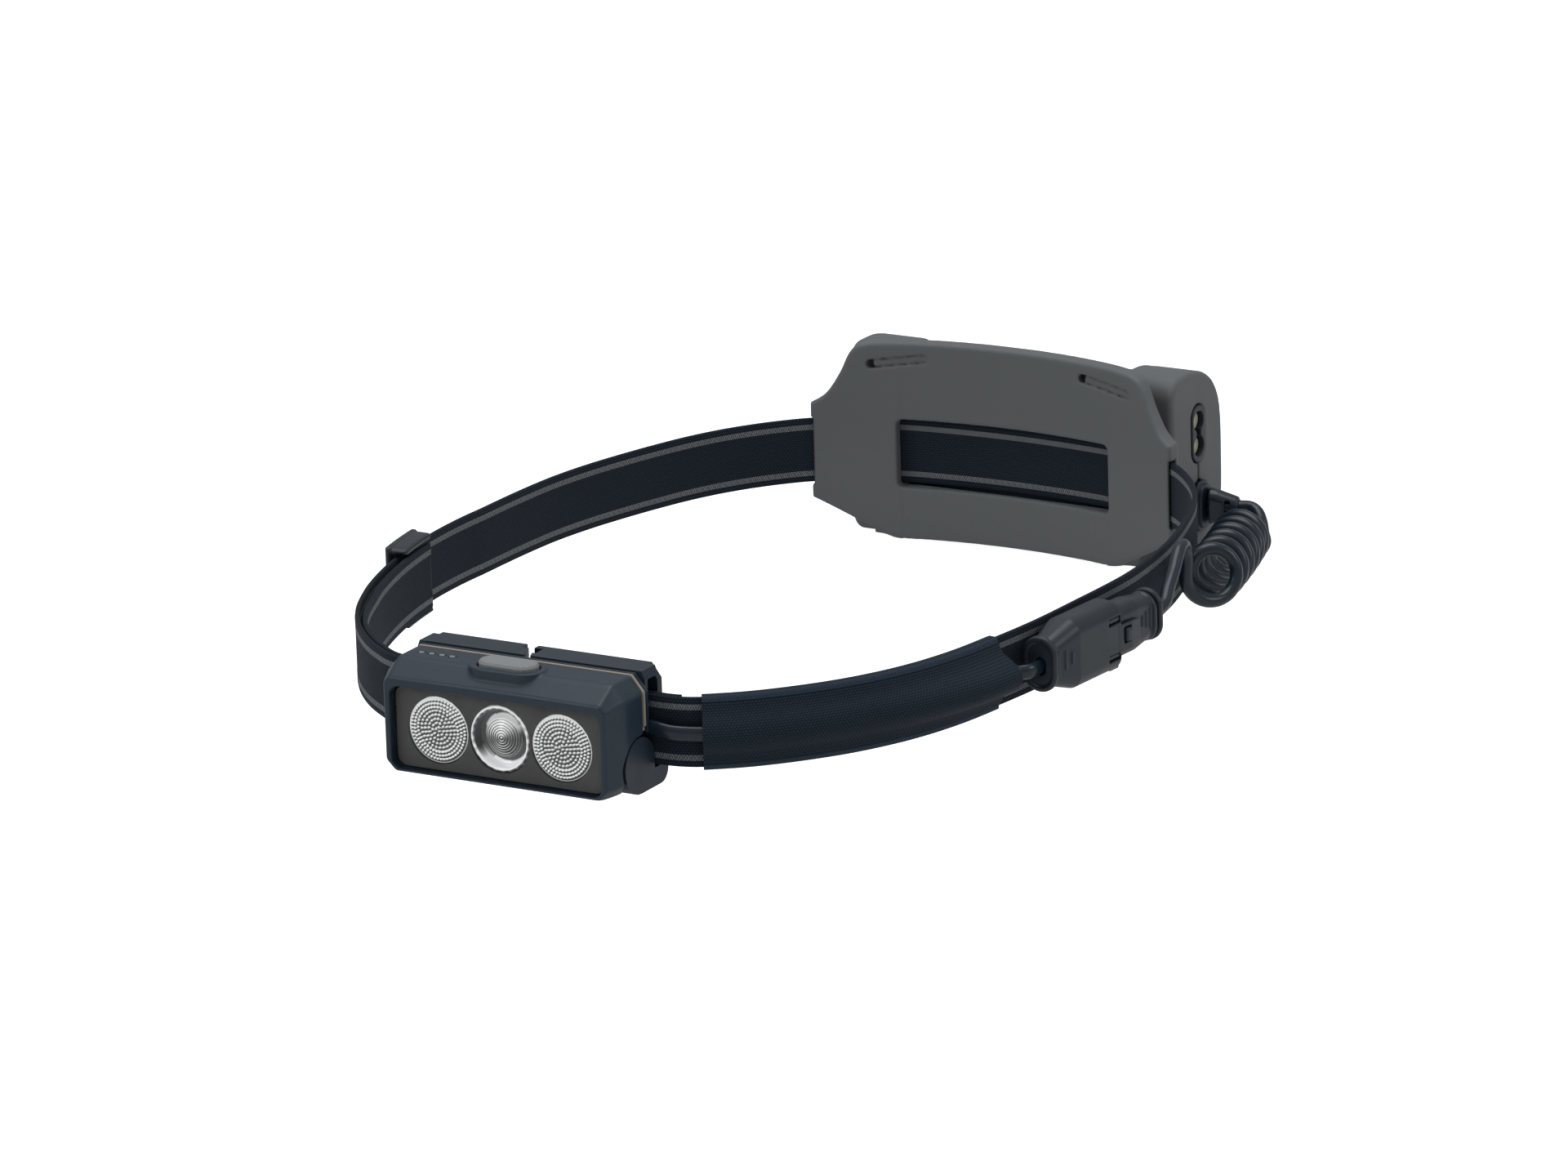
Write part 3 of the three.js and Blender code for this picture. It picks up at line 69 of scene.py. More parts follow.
# Connector: local y runs along its axis, local x points away from the head
PLUG_START, PLUG_END = np.array([79.65, -31.0]), np.array([83.25, 10.6])
PLUG_AXIS = (PLUG_END - PLUG_START) / np.linalg.norm(PLUG_END - PLUG_START)

# Battery pack (half sizes) and the holder round it
PACK_HALF_X, PACK_HALF_Z, PACK_CZ, PACK_FRONT = 39.6, 20.85, 0.95, 104.6
SKIN, END_SKIN = 1.1, 1.5
END_X = PACK_HALF_X + GAP + END_SKIN
PORT_Y, PORT_Z, PORT_L, PORT_W = 114.4, 8.3, 13.6, 6.6
FLANGE_Y, FLANGE_Z, FLANGE_L, FLANGE_W = 114.4, -8.4, 12.0, 7.0


def ease(x, start, end):
    t = np.clip((x - start) / (end - start), 0, 1)
    return t * t * (3 - 2 * t)


def plug_point(along):
    """Point on the connector's axis."""
    return (*(PLUG_START + PLUG_AXIS * along), 0.0)


# ------------------------------------------------------------------ mesh helpers
def make_object(name, verts, faces):
    mesh = bpy.data.meshes.new(name)
    placed = (np.asarray(verts, float) + ORIGIN) * MM
    mesh.from_pydata(placed.tolist(), [], [list(map(int, face)) for face in faces])
    mesh.validate(verbose=False)
    mesh.polygons.foreach_set("use_smooth", np.ones(len(mesh.polygons), bool))
    mesh.update()
    piece = bpy.data.objects.new(name, mesh)
    bpy.context.scene.collection.objects.link(piece)
    return piece


def add_loft_uv(mesh, along, across, closed):
    """UVs in mm: u from each corner's ring, v from its place in the ring."""
    corner = np.zeros(len(mesh.loops), np.int64)
    mesh.loops.foreach_get("vertex_index", corner)
    u = along[np.minimum(corner // len(across), len(along) - 1)]
    v = across[corner % len(across)]
    if closed:
        # where a face spans over half a period, its low corners move on by a period
        period = along[-1] + (along[1] - along[0])
        u = u.reshape(-1, 4)
        wraps = (u.max(1) - u.min(1) > 0.5 * period)[:, None]
        u = np.where(wraps & (u < 0.5 * period), u + period, u).ravel()
    layer = mesh.uv_layers.new(name="UVMap")
    layer.data.foreach_set("uv", np.stack([u, v], 1).astype(np.float32).ravel())


def loft(name, rings, centres=None, closed=False, uv=None):
    """Join rings, shaped (rings, points, 3), one to the next. Open lofts are capped with
    fans round the centres. uv is (u of each ring, v of each point)."""
    count, around = rings.shape[:2]
    index = np.arange(count * around).reshape(count, around)
    here = index if closed else index[:-1]
    ahead = np.roll(index, -1, 0) if closed else index[1:]
    quads = np.stack([here, np.roll(here, -1, 1), np.roll(ahead, -1, 1), ahead], -1).reshape(-1, 4)
    verts = rings.reshape(-1, 3)
    volume = 0
    for corners in ([0, 1, 2], [0, 2, 3]):
        tri = verts[quads[:, corners]]
        volume += np.einsum("ij,ij->i", tri[:, 0], np.cross(tri[:, 1], tri[:, 2])).sum()
    faces = quads.tolist()
    if not closed:
        if centres is None:
            centres = [rings[0].mean(0), rings[-1].mean(0)]
        first = len(verts)
        verts = np.vstack([verts, centres])
        faces += [[first, index[0, (k + 1) % around], index[0, k]] for k in range(around)]
        faces += [[first + 1, index[-1, k], index[-1, (k + 1) % around]] for k in range(around)]
    if volume < 0:                       # turn the faces outward
        faces = [face[::-1] for face in faces]
    piece = make_object(name, verts, faces)
    if uv is not None:
        add_loft_uv(piece.data, *uv, closed)
    return piece


def smooth_curve(points, closed=False, per_span=24):
    """Dense centripetal Catmull-Rom points."""
    p = np.asarray(points, float)
    if closed:
        p = np.vstack([p[-1], p, p[0], p[1]])
    else:
        p = np.vstack([2 * p[0] - p[1], p, 2 * p[-1] - p[-2]])
    t = (np.arange(per_span) / per_span)[:, None]
    spans = []
    for before, start, end, after in zip(p, p[1:], p[2:], p[3:]):
        pairs = ((before, start), (start, end), (end, after))
        k0, k1, k2 = [max(np.linalg.norm(b - a) ** 0.5, 1e-4) for a, b in pairs]
        slope0 = ((start - before) / k0 - (end - before) / (k0 + k1) + (end - start) / k1) * k1
        slope1 = ((end - start) / k1 - (after - start) / (k1 + k2) + (after - end) / k2) * k1
        spans.append((2 * t**3 - 3 * t**2 + 1) * start + (t**3 - 2 * t**2 + t) * slope0
                     + (-2 * t**3 + 3 * t**2) * end + (t**3 - t**2) * slope1)
    spans = np.vstack(spans)
    return spans if closed else np.vstack([spans, p[-2]])


def run_length(points):
    """Length along the points, from the first to each."""
    return np.r_[0, np.cumsum(np.linalg.norm(np.diff(points, axis=0), axis=1))]


def resample(points, count, closed=False):
    """Evenly spaced points: count of them when closed, count + 1 when open."""
    if closed:
        points = np.vstack([points, points[:1]])
    length = run_length(points)
    even = np.linspace(0, length[-1], count + 1)
    result = np.stack([np.interp(even, length, column) for column in points.T], 1)
    return result[:-1] if closed else result


def path_normals(path, closed=False):
    """Unit normals in plan, to the right of the path's direction."""
    if closed:
        run = np.roll(path, -1, 0) - np.roll(path, 1, 0)
    else:
        run = np.gradient(path, axis=0)
    run = run / np.linalg.norm(run, axis=1)[:, None]
    return np.stack([run[:, 1], -run[:, 0]], 1)


def upright_rings(path, normals, out, up):
    """Upright sections on a plan path: out is (rings, points), up one height per point."""
    plan = path[:, None] + normals[:, None] * out[..., None]
    return np.concatenate([plan, np.broadcast_to(up, out.shape)[..., None]], 2)


def sweep(name, points, width, height, steps, level, around=24):
    """Cable along a curve. A level one keeps its width horizontal, the others don't twist."""
    path = resample(smooth_curve(points), steps)
    run = np.gradient(path, axis=0)
    run /= np.linalg.norm(run, axis=1)[:, None]
    if level:
        side = np.stack([run[:, 1], -run[:, 0], 0 * run[:, 0]], 1)
        side /= np.linalg.norm(side, axis=1)[:, None]
        up = np.cross(side, run)
    else:
        up = np.zeros_like(path)
        last = np.array([0, 0, 1.0])
        for i in range(len(path)):
            last = last - run[i] * last.dot(run[i])
            last = last / np.linalg.norm(last)
            up[i] = last
        side = np.cross(run, up)
    angle = 2 * math.pi * np.arange(around) / around
    rings = (path[:, None] + side[:, None] * (width / 2 * np.cos(angle))[None, :, None]
             + up[:, None] * (height / 2 * np.sin(angle))[None, :, None])
    return loft(name, rings)


# ------------------------------------------------------------------ distance fields to meshes
# A field is negative inside its shape. The radius rounds the edge where two shapes meet.
def intersect(a, b, radius):
    u, v = np.maximum(a + radius, 0), np.maximum(b + radius, 0)
    return np.minimum(-radius, np.maximum(a, b)) + np.sqrt(u * u + v * v)


def join(a, b, radius):
    u, v = np.maximum(radius - a, 0), np.maximum(radius - b, 0)
    return np.maximum(radius, np.minimum(a, b)) - np.sqrt(u * u + v * v)


def cut(body, tool, radius=None):
    """Take the tool away from the body, with a sharp edge if no radius is given."""
    return np.maximum(body, -tool) if radius is None else intersect(body, -tool, radius)


def overlap(*fields):
    """Sharp-edged intersection."""
    return reduce(np.maximum, fields)


def between(value, low, high):
    return np.maximum(low - value, value - high)


def span(value, centre, half):
    return np.abs(value - centre) - half


def rect(u, v, centre, half, radius):
    """Rounded rectangle."""
    qu, qv = np.abs(u - centre[0]) - half[0] + radius, np.abs(v - centre[1]) - half[1] + radius
    corner = np.hypot(np.maximum(qu, 0), np.maximum(qv, 0))
    return np.minimum(np.maximum(qu, qv), 0) + corner - radius


def path_distance(x, y, points):
    x, y = np.broadcast_arrays(x, y)
    nearest = np.full(x.shape, 1e9)
    for (x0, y0), (x1, y1) in zip(points[:-1], points[1:]):
        ex, ey = x1 - x0, y1 - y0
        wx, wy = x - x0, y - y0
        t = np.clip((wx * ex + wy * ey) / (ex * ex + ey * ey + 1e-12), 0, 1)
        nearest = np.minimum(nearest, (wx - t * ex) ** 2 + (wy - t * ey) ** 2)
    return np.sqrt(nearest)


def polygon(x, y, points):
    loop = np.vstack([points, points[:1]])
    x, y = np.broadcast_arrays(x, y)
    inside = np.zeros(x.shape, bool)
    for (x0, y0), (x1, y1) in zip(loop[:-1], loop[1:]):
        rise = y1 - y0 if abs(y1 - y0) > 1e-12 else 1e-12
        inside ^= ((y0 <= y) != (y1 <= y)) & (x - x0 < (x1 - x0) * (y - y0) / rise)
    distance = path_distance(x, y, loop)
    return np.where(inside, -distance, distance)


def settle(points, field, cell):
    """Move the points onto the field's zero surface."""
    probe, min_slope, relax, reach = 0.02, 0.2, 0.9, 0.5 * cell
    for _ in range(3):
        value = field(*points.T)
        slope = np.stack([(field(*(points + step).T) - field(*(points - step).T)) / (2 * probe)
                          for step in probe * np.eye(3)], 1)
        move = -(value / np.maximum((slope * slope).sum(1), min_slope))[:, None] * slope
        length = np.linalg.norm(move, axis=1)
        move *= np.minimum(1, reach / np.maximum(length, 1e-9))[:, None]
        points = points + relax * move
    return points


def mesh_field(name, field, low, high, cell, place=None):
    """Surface nets: one vertex in each grid cell that the surface crosses."""
    low, high = np.asarray(low, float), np.asarray(high, float)
    size = np.ceil((high - low) / cell).astype(int) + 1
    x, y, z = [low[i] + cell * np.arange(size[i]) for i in range(3)]
    grid = field(x[:, None, None], y[None, :, None], z[None, None, :])
    grid = np.broadcast_to(grid, tuple(size)).astype(np.float32)
    grid = np.where(np.abs(grid) < 1e-6, 1e-6, grid)
    solid = grid < 0
    corners = [(i, j, k) for i in (0, 1) for j in (0, 1) for k in (0, 1)]
    filled = sum(solid[tuple(slice(start, start + n - 1) for start, n in zip(corner, size))]
                 .astype(np.int8) for corner in corners)
    crossed = (filled > 0) & (filled < 8)
    cells = np.argwhere(crossed)
    values = {c: grid[cells[:, 0] + c[0], cells[:, 1] + c[1], cells[:, 2] + c[2]]
              for c in corners}
    total, hits = np.zeros((len(cells), 3)), np.zeros(len(cells))
    for start in corners:
        for axis in range(3):
            if start[axis]:
                continue
            end = tuple(1 if i == axis else start[i] for i in range(3))
            v0, v1 = values[start], values[end]
            hit = (v0 < 0) != (v1 < 0)
            point = np.array(start, float)[None] + np.zeros((len(cells), 3))
            point[:, axis] += np.where(hit, v0 / np.where(hit, v0 - v1, 1), 0)
            total += point * hit[:, None]
            hits += hit
    points = low + (cells + total / hits[:, None]) * cell
    ids = -np.ones(tuple(size - 1), np.int64)
    ids[cells[:, 0], cells[:, 1], cells[:, 2]] = np.arange(len(cells))
    faces = []
    for axis in range(3):
        # a quad round each grid edge that changes side
        near, far = [slice(None)] * 3, [slice(None)] * 3
        near[axis], far[axis] = slice(0, -1), slice(1, None)
        edges = np.argwhere(solid[tuple(near)] != solid[tuple(far)])
        p, q = (axis + 1) % 3, (axis + 2) % 3
        edges = edges[(edges[:, p] > 0) & (edges[:, q] > 0)
                      & (edges[:, p] < size[p] - 1) & (edges[:, q] < size[q] - 1)]
        quad = []
        for step_p, step_q in ((-1, -1), (0, -1), (0, 0), (-1, 0)):
            around = edges.copy()
            around[:, p] += step_p
            around[:, q] += step_q
            quad.append(ids[around[:, 0], around[:, 1], around[:, 2]])
        quad = np.stack(quad, 1)
        outside = ~solid[edges[:, 0], edges[:, 1], edges[:, 2]]
        quad[outside] = quad[outside][:, ::-1]
        faces.append(quad)
    points = settle(points, field, cell)
    if place is not None:
        points = place(points)
    return make_object(name, points, np.vstack(faces).tolist())


# ------------------------------------------------------------------ shader helpers
def new_material(name):
    material = bpy.data.materials.new(name)
    material.use_nodes = True
    tree = material.node_tree
    return material, tree, next(n for n in tree.nodes if n.type == "BSDF_PRINCIPLED")


def feed(tree, node, inputs):
    """Link or set a node's inputs."""
    for socket, value in inputs.items():
        if isinstance(value, bpy.types.NodeSocket):
            tree.links.new(value, node.inputs[socket])
        else:
            node.inputs[socket].default_value = value


def add_node(tree, kind, inputs={}, **settings):
    node = tree.nodes.new(kind)
    for key, value in settings.items():
        setattr(node, key, value)
    feed(tree, node, inputs)
    return node


def math_node(tree, operation, *values, clamp=False):
    return add_node(tree, "ShaderNodeMath", dict(enumerate(values)),
                    operation=operation, use_clamp=clamp).outputs[0]


def mix_colour(tree, factor, a, b):
    a, b = [(*c, 1) if isinstance(c, tuple) else c for c in (a, b)]
    # inputs 6 and 7 are the two colours
    return add_node(tree, "ShaderNodeMix", {0: factor, 6: a, 7: b}, data_type="RGBA").outputs[2]


def map_range(tree, value, source, target):
    inputs = {0: value, 1: source[0], 2: source[1], 3: target[0], 4: target[1]}
    return add_node(tree, "ShaderNodeMapRange", inputs).outputs[0]


def noise(tree, vector, scale, detail, roughness):
    return add_node(tree, "ShaderNodeTexNoise", {
        "Vector": vector, "Scale": scale, "Detail": detail, "Roughness": roughness}).outputs[0]


def add_bump(tree, shader, height, strength, distance):
    bump = add_node(tree, "ShaderNodeBump", {
        "Height": height, "Strength": strength, "Distance": distance})
    feed(tree, shader, {"Normal": bump.outputs[0]})


def scaled(colour, factor):
    return tuple(c * factor for c in colour)


# ------------------------------------------------------------------ materials
def moulded(name, colour, roughness, grain, grain_scale=2600.0, metallic=0.0, specular=0.5,
            variation=0.06, streaked=False):
    """Plastic, rubber or metal: fine surface grain, slight changes of roughness and tone."""
    material, tree, shader = new_material(name)
    position = add_node(tree, "ShaderNodeTexCoord").outputs["Object"]
    if grain > 0:
        fine = noise(tree, position, scale=grain_scale, detail=3.0, roughness=0.55)
        add_bump(tree, shader, fine, strength=grain, distance=0.00008)
    if streaked:
        position = add_node(tree, "ShaderNodeMapping",
                            {"Vector": position, "Scale": (1, 1, 12)}).outputs[0]
    cloud = noise(tree, position, scale=140.0, detail=4.0, roughness=0.6)
    tone = mix_colour(tree, cloud, scaled(colour, 1 - variation), scaled(colour, 1 + variation))
    feed(tree, shader, {
        "Base Color": tone,
        "Roughness": map_range(tree, cloud, source=(0.3, 0.7),
                               target=(roughness - 0.05, roughness + 0.05)),
        "Metallic": metallic,
        "IOR": 1.5,
        "Specular IOR Level": specular,
    })
    return material


def window_material():
    material, tree, shader = new_material("clear_window")
    feed(tree, shader, {"Base Color": (0.02, 0.02, 0.02, 1), "Roughness": 0.04,
                        "Alpha": 0.07, "IOR": 1.49})
    return material


def optic_material():
    """Clear optic with painted light: facets turned towards a fixed direction get a painted
    highlight, those turned away painted shade, with painted reflections from the "tone" attribute
    and a painted glow from emission.
    """
    material, tree, shader = new_material("optic_clear")
    # painted light: the "tone" attribute carries painted highlights, reflections and shade of the
    # clear lens
    tone = add_node(tree, "ShaderNodeAttribute", attribute_name="tone").outputs["Fac"]
    # painted highlight and shade: brightness follows how each facet faces a fixed direction, not
    # the scene's lamps
    normal = add_node(tree, "ShaderNodeNewGeometry").outputs["Normal"]
    facing = add_node(tree, "ShaderNodeVectorMath", {0: normal, 1: (-0.22, -0.42, 0.88)},
                      operation="DOT_PRODUCT").outputs["Value"]
    light = map_range(tree, facing, source=(0.16, 0.82), target=(0.0, 1.0))
    painted_highlight_and_shade = math_node(tree, "MULTIPLY", math_node(tree, "SUBTRACT", light, 0.36), 1.7)
    factor = math_node(tree, "ADD", tone, painted_highlight_and_shade, clamp=True)
    factor = math_node(tree, "POWER", factor, 1.7)
    colour = mix_colour(tree, factor, (0.055, 0.056, 0.058), (0.95, 0.955, 0.96))
    # painted glow: the optic's colour is also emitted, so it shines though it is no lamp
    feed(tree, shader, {"Base Color": colour, "Emission Color": colour,
                        "Emission Strength": 0.36, "Roughness": 0.06, "IOR": 1.49,
                        "Coat Weight": 0.3})
    return material


def webbing(name, base, pitch_along, pitch_across, stripe=None, hems=()):
    """Woven tape. UVs are in millimetres: u along the tape, v across it."""
    material, tree, shader = new_material(name)
    calc = partial(math_node, tree)
    uv = add_node(tree, "ShaderNodeUVMap").outputs[0]
    axes = add_node(tree, "ShaderNodeSeparateXYZ", {0: uv})
    u, v = axes.outputs[0], axes.outputs[1]
    tau = 2 * math.pi
    shade = scaled(base, 0.3)

    # rows across the tape, every other row's stitches shifted by half a pitch
    row = calc("FLOOR", calc("DIVIDE", v, pitch_across))
    shift = calc("MULTIPLY", calc("FLOORED_MODULO", row, 2.0), 0.5)
    phase = calc("MULTIPLY", calc("ADD", calc("DIVIDE", u, pitch_along), shift), tau)
    stitch = calc("ABSOLUTE", calc("SINE", calc("MULTIPLY", phase, 0.5)))
    rows = calc("ABSOLUTE", calc("SINE", calc("MULTIPLY", v, math.pi / pitch_across)))
    weave = calc("MULTIPLY", calc("POWER", stitch, 0.6), calc("POWER", rows, 0.6))
    uneven = noise(tree, uv, scale=1.7, detail=5.0, roughness=0.65)
    colour = mix_colour(tree, weave, scaled(base, 0.26), scaled(base, 1.62))
    height = weave

    for middle in hems:              # pressed edge: a paler strip with a shadow line beside it
        away = calc("ABSOLUTE", calc("SUBTRACT", v, middle))
        strip = calc("LESS_THAN", away, 0.72)
        line = calc("LESS_THAN", calc("ABSOLUTE", calc("SUBTRACT", away, 0.84)), 0.12)
        colour = mix_colour(tree, strip, colour, scaled(base, 1.9))
        colour = mix_colour(tree, calc("MULTIPLY", line, 0.7), colour, shade)

    if stripe:                       # a chevron-braided stripe near each edge, with a dark border
        from_centre = calc("ABSOLUTE", v)

        def from_stripe():
            return calc("ABSOLUTE", calc("SUBTRACT", from_centre, 5.42))

        mask = calc("LESS_THAN", from_stripe(), 0.64)
        along = calc("DIVIDE", u, 0.52)
        across = calc("DIVIDE", from_stripe(), 0.62)
        braid = calc("SINE", calc("MULTIPLY", calc("ADD", along, across), tau))
        thread = calc("MULTIPLY", calc("GREATER_THAN", braid, -0.15), calc("POWER", stitch, 0.4))
        braided = mix_colour(tree, thread, scaled(stripe, 0.10), stripe)
        border = calc("LESS_THAN", calc("ABSOLUTE", calc("SUBTRACT", from_stripe(), 0.70)), 0.07)
        colour = mix_colour(tree, mask, colour, braided)
        colour = mix_colour(tree, calc("MULTIPLY", border, 0.6), colour, shade)
        height = calc("ADD", calc("MULTIPLY", height, 1.0), calc("MULTIPLY", mask, 0.25))

    tone = map_range(tree, uneven, source=(0.3, 0.7), target=(0.82, 1.14))
    toned = add_node(tree, "ShaderNodeVectorMath", {0: colour, 1: tone}, operation="MULTIPLY")
    feed(tree, shader, {"Base Color": toned.outputs[0], "Roughness": 0.82,
                        "Specular IOR Level": 0.10, "Sheen Weight": 0.03,
                        "Sheen Roughness": 0.5})
    add_bump(tree, shader, height, strength=0.55, distance=0.00010)
    return material


# slot: material name, base colour, roughness, grain strength, other settings of moulded()
MOULDED = {
    "navy_shell": ("navy_shell", (0.0115, 0.0240, 0.0385), 0.44, 0.14, dict(specular=0.36)),
    "navy_bracket": ("navy_bracket", (0.0105, 0.0200, 0.0330), 0.46, 0.14, dict(specular=0.34)),
    "deep_navy": ("deep_navy", (0.010, 0.017, 0.027), 0.42, 0.1, dict(specular=0.36)),
    "connector_plastic": ("connector_plastic", (0.0125, 0.0195, 0.0275), 0.40, 0.10,
                          dict(specular=0.36)),
    "cable_jacket": ("cable_jacket", (0.0070, 0.0150, 0.0250), 0.30, 0.04,
                     dict(grain_scale=1800.0, specular=0.38)),
    "holder_grey": ("holder_rubber", (0.098, 0.106, 0.112), 0.62, 0.22,
                    dict(grain_scale=3200.0, variation=0.04, specular=0.35)),
    "button_grey": ("button_rubber", (0.180, 0.190, 0.197), 0.62, 0.18, dict(grain_scale=3000.0)),
    "seal_rubber": ("lamp_seal_rubber", (0.235, 0.205, 0.180), 0.65, 0.1, {}),
    "seal_red": ("seal_red_rubber", (0.19, 0.045, 0.025), 0.6, 0.05, {}),
    "panel_dark": ("panel_dark", (0.092, 0.092, 0.093), 0.62, 0.12,
                   dict(variation=0.30, specular=0.18)),
    "steel": ("steel", (0.42, 0.43, 0.44), 0.28, 0.03, dict(metallic=1.0, streaked=True)),
    "aluminium": ("aluminium", (0.55, 0.56, 0.58), 0.32, 0.05, dict(metallic=1.0, streaked=True)),
    "contact_brass": ("contact_brass", (0.60, 0.46, 0.22), 0.25, 0.02, dict(metallic=1.0)),
    "contact_cream": ("contact_cream", (0.50, 0.48, 0.34), 0.35, 0.02, dict(metallic=0.35)),
    "board_green": ("board_green", (0.013, 0.10, 0.045), 0.35, 0.05, {}),
    "board_white": ("board_white", (0.7, 0.7, 0.68), 0.35, 0.03, {}),
    "led_yellow": ("led_yellow", (0.75, 0.62, 0.15), 0.25, 0.0, {}),
    "switch_black": ("switch_black", (0.02, 0.02, 0.02), 0.45, 0.06, {}),
    "cell_wrap": ("cell_wrap", (0.03, 0.15, 0.26), 0.25, 0.0, {}),
    "light_pipe": ("light_pipe", (0.20, 0.21, 0.21), 0.35, 0.05, {}),
}
materials = {slot: moulded(*row[:4], **row[4]) for slot, row in MOULDED.items()}
materials["clear_window"] = window_material()
materials["optic_clear"] = optic_material()
materials["band_fabric"] = webbing("band_webbing", base=(0.0105, 0.0168, 0.0255),
                                   pitch_along=0.78, pitch_across=0.58,
                                   stripe=(0.222, 0.240, 0.258))
materials["sleeve_fabric"] = webbing("sleeve_cloth", base=(0.0125, 0.0200, 0.0300),
                                     pitch_along=0.72, pitch_across=0.56, hems=(3.3, 20.02))


def register(piece, slot, replaced, rides=None):
    piece.data.materials.append(materials[slot])
    if rides:
        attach(piece, rides)
    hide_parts(replaced)


# ------------------------------------------------------------------ CAD pieces shown as they are
slot_of = {part["node"]: part["material_slot"] for part in frame["record"]["subparts"]}
for name, piece in nodes.items():
    slot = "navy_bracket" if name == "head_bracket" else slot_of[name]
    piece.data.materials.clear()
    piece.data.materials.append(materials[slot])


def soften(name, width, segments, angle):
    """Small moulded radius on a CAD piece's edges."""
    piece = nodes[name]
    planar = piece.modifiers.new("planar", "DECIMATE")
    planar.decimate_type = "DISSOLVE"
    planar.angle_limit = math.radians(0.6)
    edge = piece.modifiers.new("edge", "BEVEL")
    edge.width = width * MM
    edge.segments = segments
    edge.limit_method = "ANGLE"
    edge.angle_limit = math.radians(angle)
    edge.use_clamp_overlap = True
    edge.harden_normals = False
    edge.miter_outer = "MITER_ARC"
    polygons = piece.data.polygons
    polygons.foreach_set("use_smooth", np.ones(len(polygons), bool))
    normals = piece.modifiers.new("normals", "WEIGHTED_NORMAL")
    normals.keep_sharp = False
    normals.weight = 80


EDGE_WIDTHS = {
    "lamp_rear_shell": 0.2, "lamp_seal": 0.12, "head_bracket": 0.35, "power_button": 0.22,
    "front_window": 0.12, "optic_plate": 0.12, "battery_case": 0.35, "battery_end_cap": 0.3,
    "case_seal": 0.1, "lamp_cable_gland": 0.2, "indicator_light_pipe": 0.1,
    "control_board": 0.08, "led_board": 0.08, "heat_spreader": 0.12, "button_board": 0.08,
    "button_switch": 0.12, "battery_board": 0.08, "contact_plate": 0.05,
}
SMALL_PIECES = (
    "cell_upper", "cell_lower", "tilt_pin_left", "tilt_pin_right", "lamp_screw_1",
    "lamp_screw_2", "charge_contact_upper", "charge_contact_lower", "socket_pin_upper",
    "socket_pin_lower", "led_left", "led_centre", "led_right", "connector_seal",
)
for name, width in EDGE_WIDTHS.items():
    soften(name, width, segments=3, angle=28)
for name in SMALL_PIECES:
    soften(name, width=0.12, segments=2, angle=35)

# ------------------------------------------------------------------ head loop
# (x, y) of the loop's middle line, from front to back. Corner and back are used on both sides.
FRONT_CORNER = [
    (14, LOOP_FRONT), (26, LOOP_FRONT), (32, LOOP_FRONT + 0.1), (36.6, -102.0), (42.2, -98.3),
    (47.3, -94.0), (54.4, -86.2),
]
RIGHT_SIDE = [
    (60.6, -77.6), (66.4, -66.2), (70.4, -53.5), (73.0, -38), (74.6, -25), (75.6, -8),
    (76.2, 5), (76.2, 14.6),
]
BACK_HALF = [
    (75.0, 27.1), (73.1, 38.2), (70.6, 48.2), (67.7, 57.8), (64.5, 66.8), (60.6, 75.1),
    (56.1, 82.2), (51.0, 88.4), (46.4, 92.75), (39.3, 96.75), (32, 99.8), (25, 101.65),
    (18, 102.6), (11, 103.2),
]
LEFT_SIDE = [(-60.4, -77.2)]
LEFT_SIDE += [(ARC_X - math.sqrt(ARC_R**2 - (y - ARC_Y) ** 2), y)
              for y in (*range(-64, 0, 8), -1)]
LEFT_SIDE += [(-76.15, 6), (-75.9, 14.6)]


def mirror(points):
    return np.asarray(points, float) * (-1, 1)


loop = resample(smooth_curve(np.vstack([
    (0, LOOP_FRONT), FRONT_CORNER, RIGHT_SIDE, BACK_HALF, (0, 103.55),
    mirror(BACK_HALF)[::-1], LEFT_SIDE[::-1], mirror(FRONT_CORNER)[::-1]]), closed=True),
    800, closed=True)
loop_normals = path_normals(loop, closed=True)


def tape_section():
    """Tape's section as (out, up): rounded selvedge, faint ridges where the stripes are."""
    heights = [1.7, 3.4, 4.6, 4.78, 5.4, 6.06, 6.2, 6.7, 7.12, 7.34]
    face = []
    for z in [-h for h in heights[::-1]] + [0] + heights:
        out = HALF_T - 0.06
        if 4.75 < abs(z) < 6.1:
            out += 0.03
        if abs(z) > 6.5:
            out += 0.05
        if abs(z) > 7.1:
            out -= 0.10
        face.append((out, z))
    edge = [(0.30, 7.46), (0.0, BAND_W / 2), (-0.30, 7.46)]
    half = np.array(face + edge)
    return np.vstack([half, -half])


TAPE = tape_section()


def tape(name, path, normals, offset=0.0, closed=False, start=0.0):
    offsets = np.broadcast_to(offset, len(path))
    rings = upright_rings(path, normals, offsets[:, None] + TAPE[None, :, 0], TAPE[:, 1])
    return loft(name, rings, closed=closed, uv=(run_length(path) + start, TAPE[:, 1]))


band = tape("headband_webbing", loop, loop_normals, closed=True)
register(band, "band_fabric", "headband", rides="headset")

# Inner strap: from its end right of the bracket, round the left side, to the slider's bar
from_end = np.abs(loop[:, 0] - 33.6) + np.where(loop[:, 1] < -90, 0, 1e3)
backward = (np.argmin(from_end) - np.arange(len(loop))) % len(loop)
x, y = loop[backward].T
backward = backward[:np.argmax((x < 0) & (y > -28.4) & (y < 0))]
x, y = loop[backward].T
step_in = (STRAP_OFF - STRAP_OFF_FRONT) * ease(y, -92, -66)
strap_offset = -np.where(x < 0, STRAP_OFF_FRONT + step_in, STRAP_OFF_FRONT)
strap = tape("adjuster_strap_webbing", loop[backward], loop_normals[backward], strap_offset,
             start=0.3)
register(strap, "band_fabric", "adjuster_strap")
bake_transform(strap)

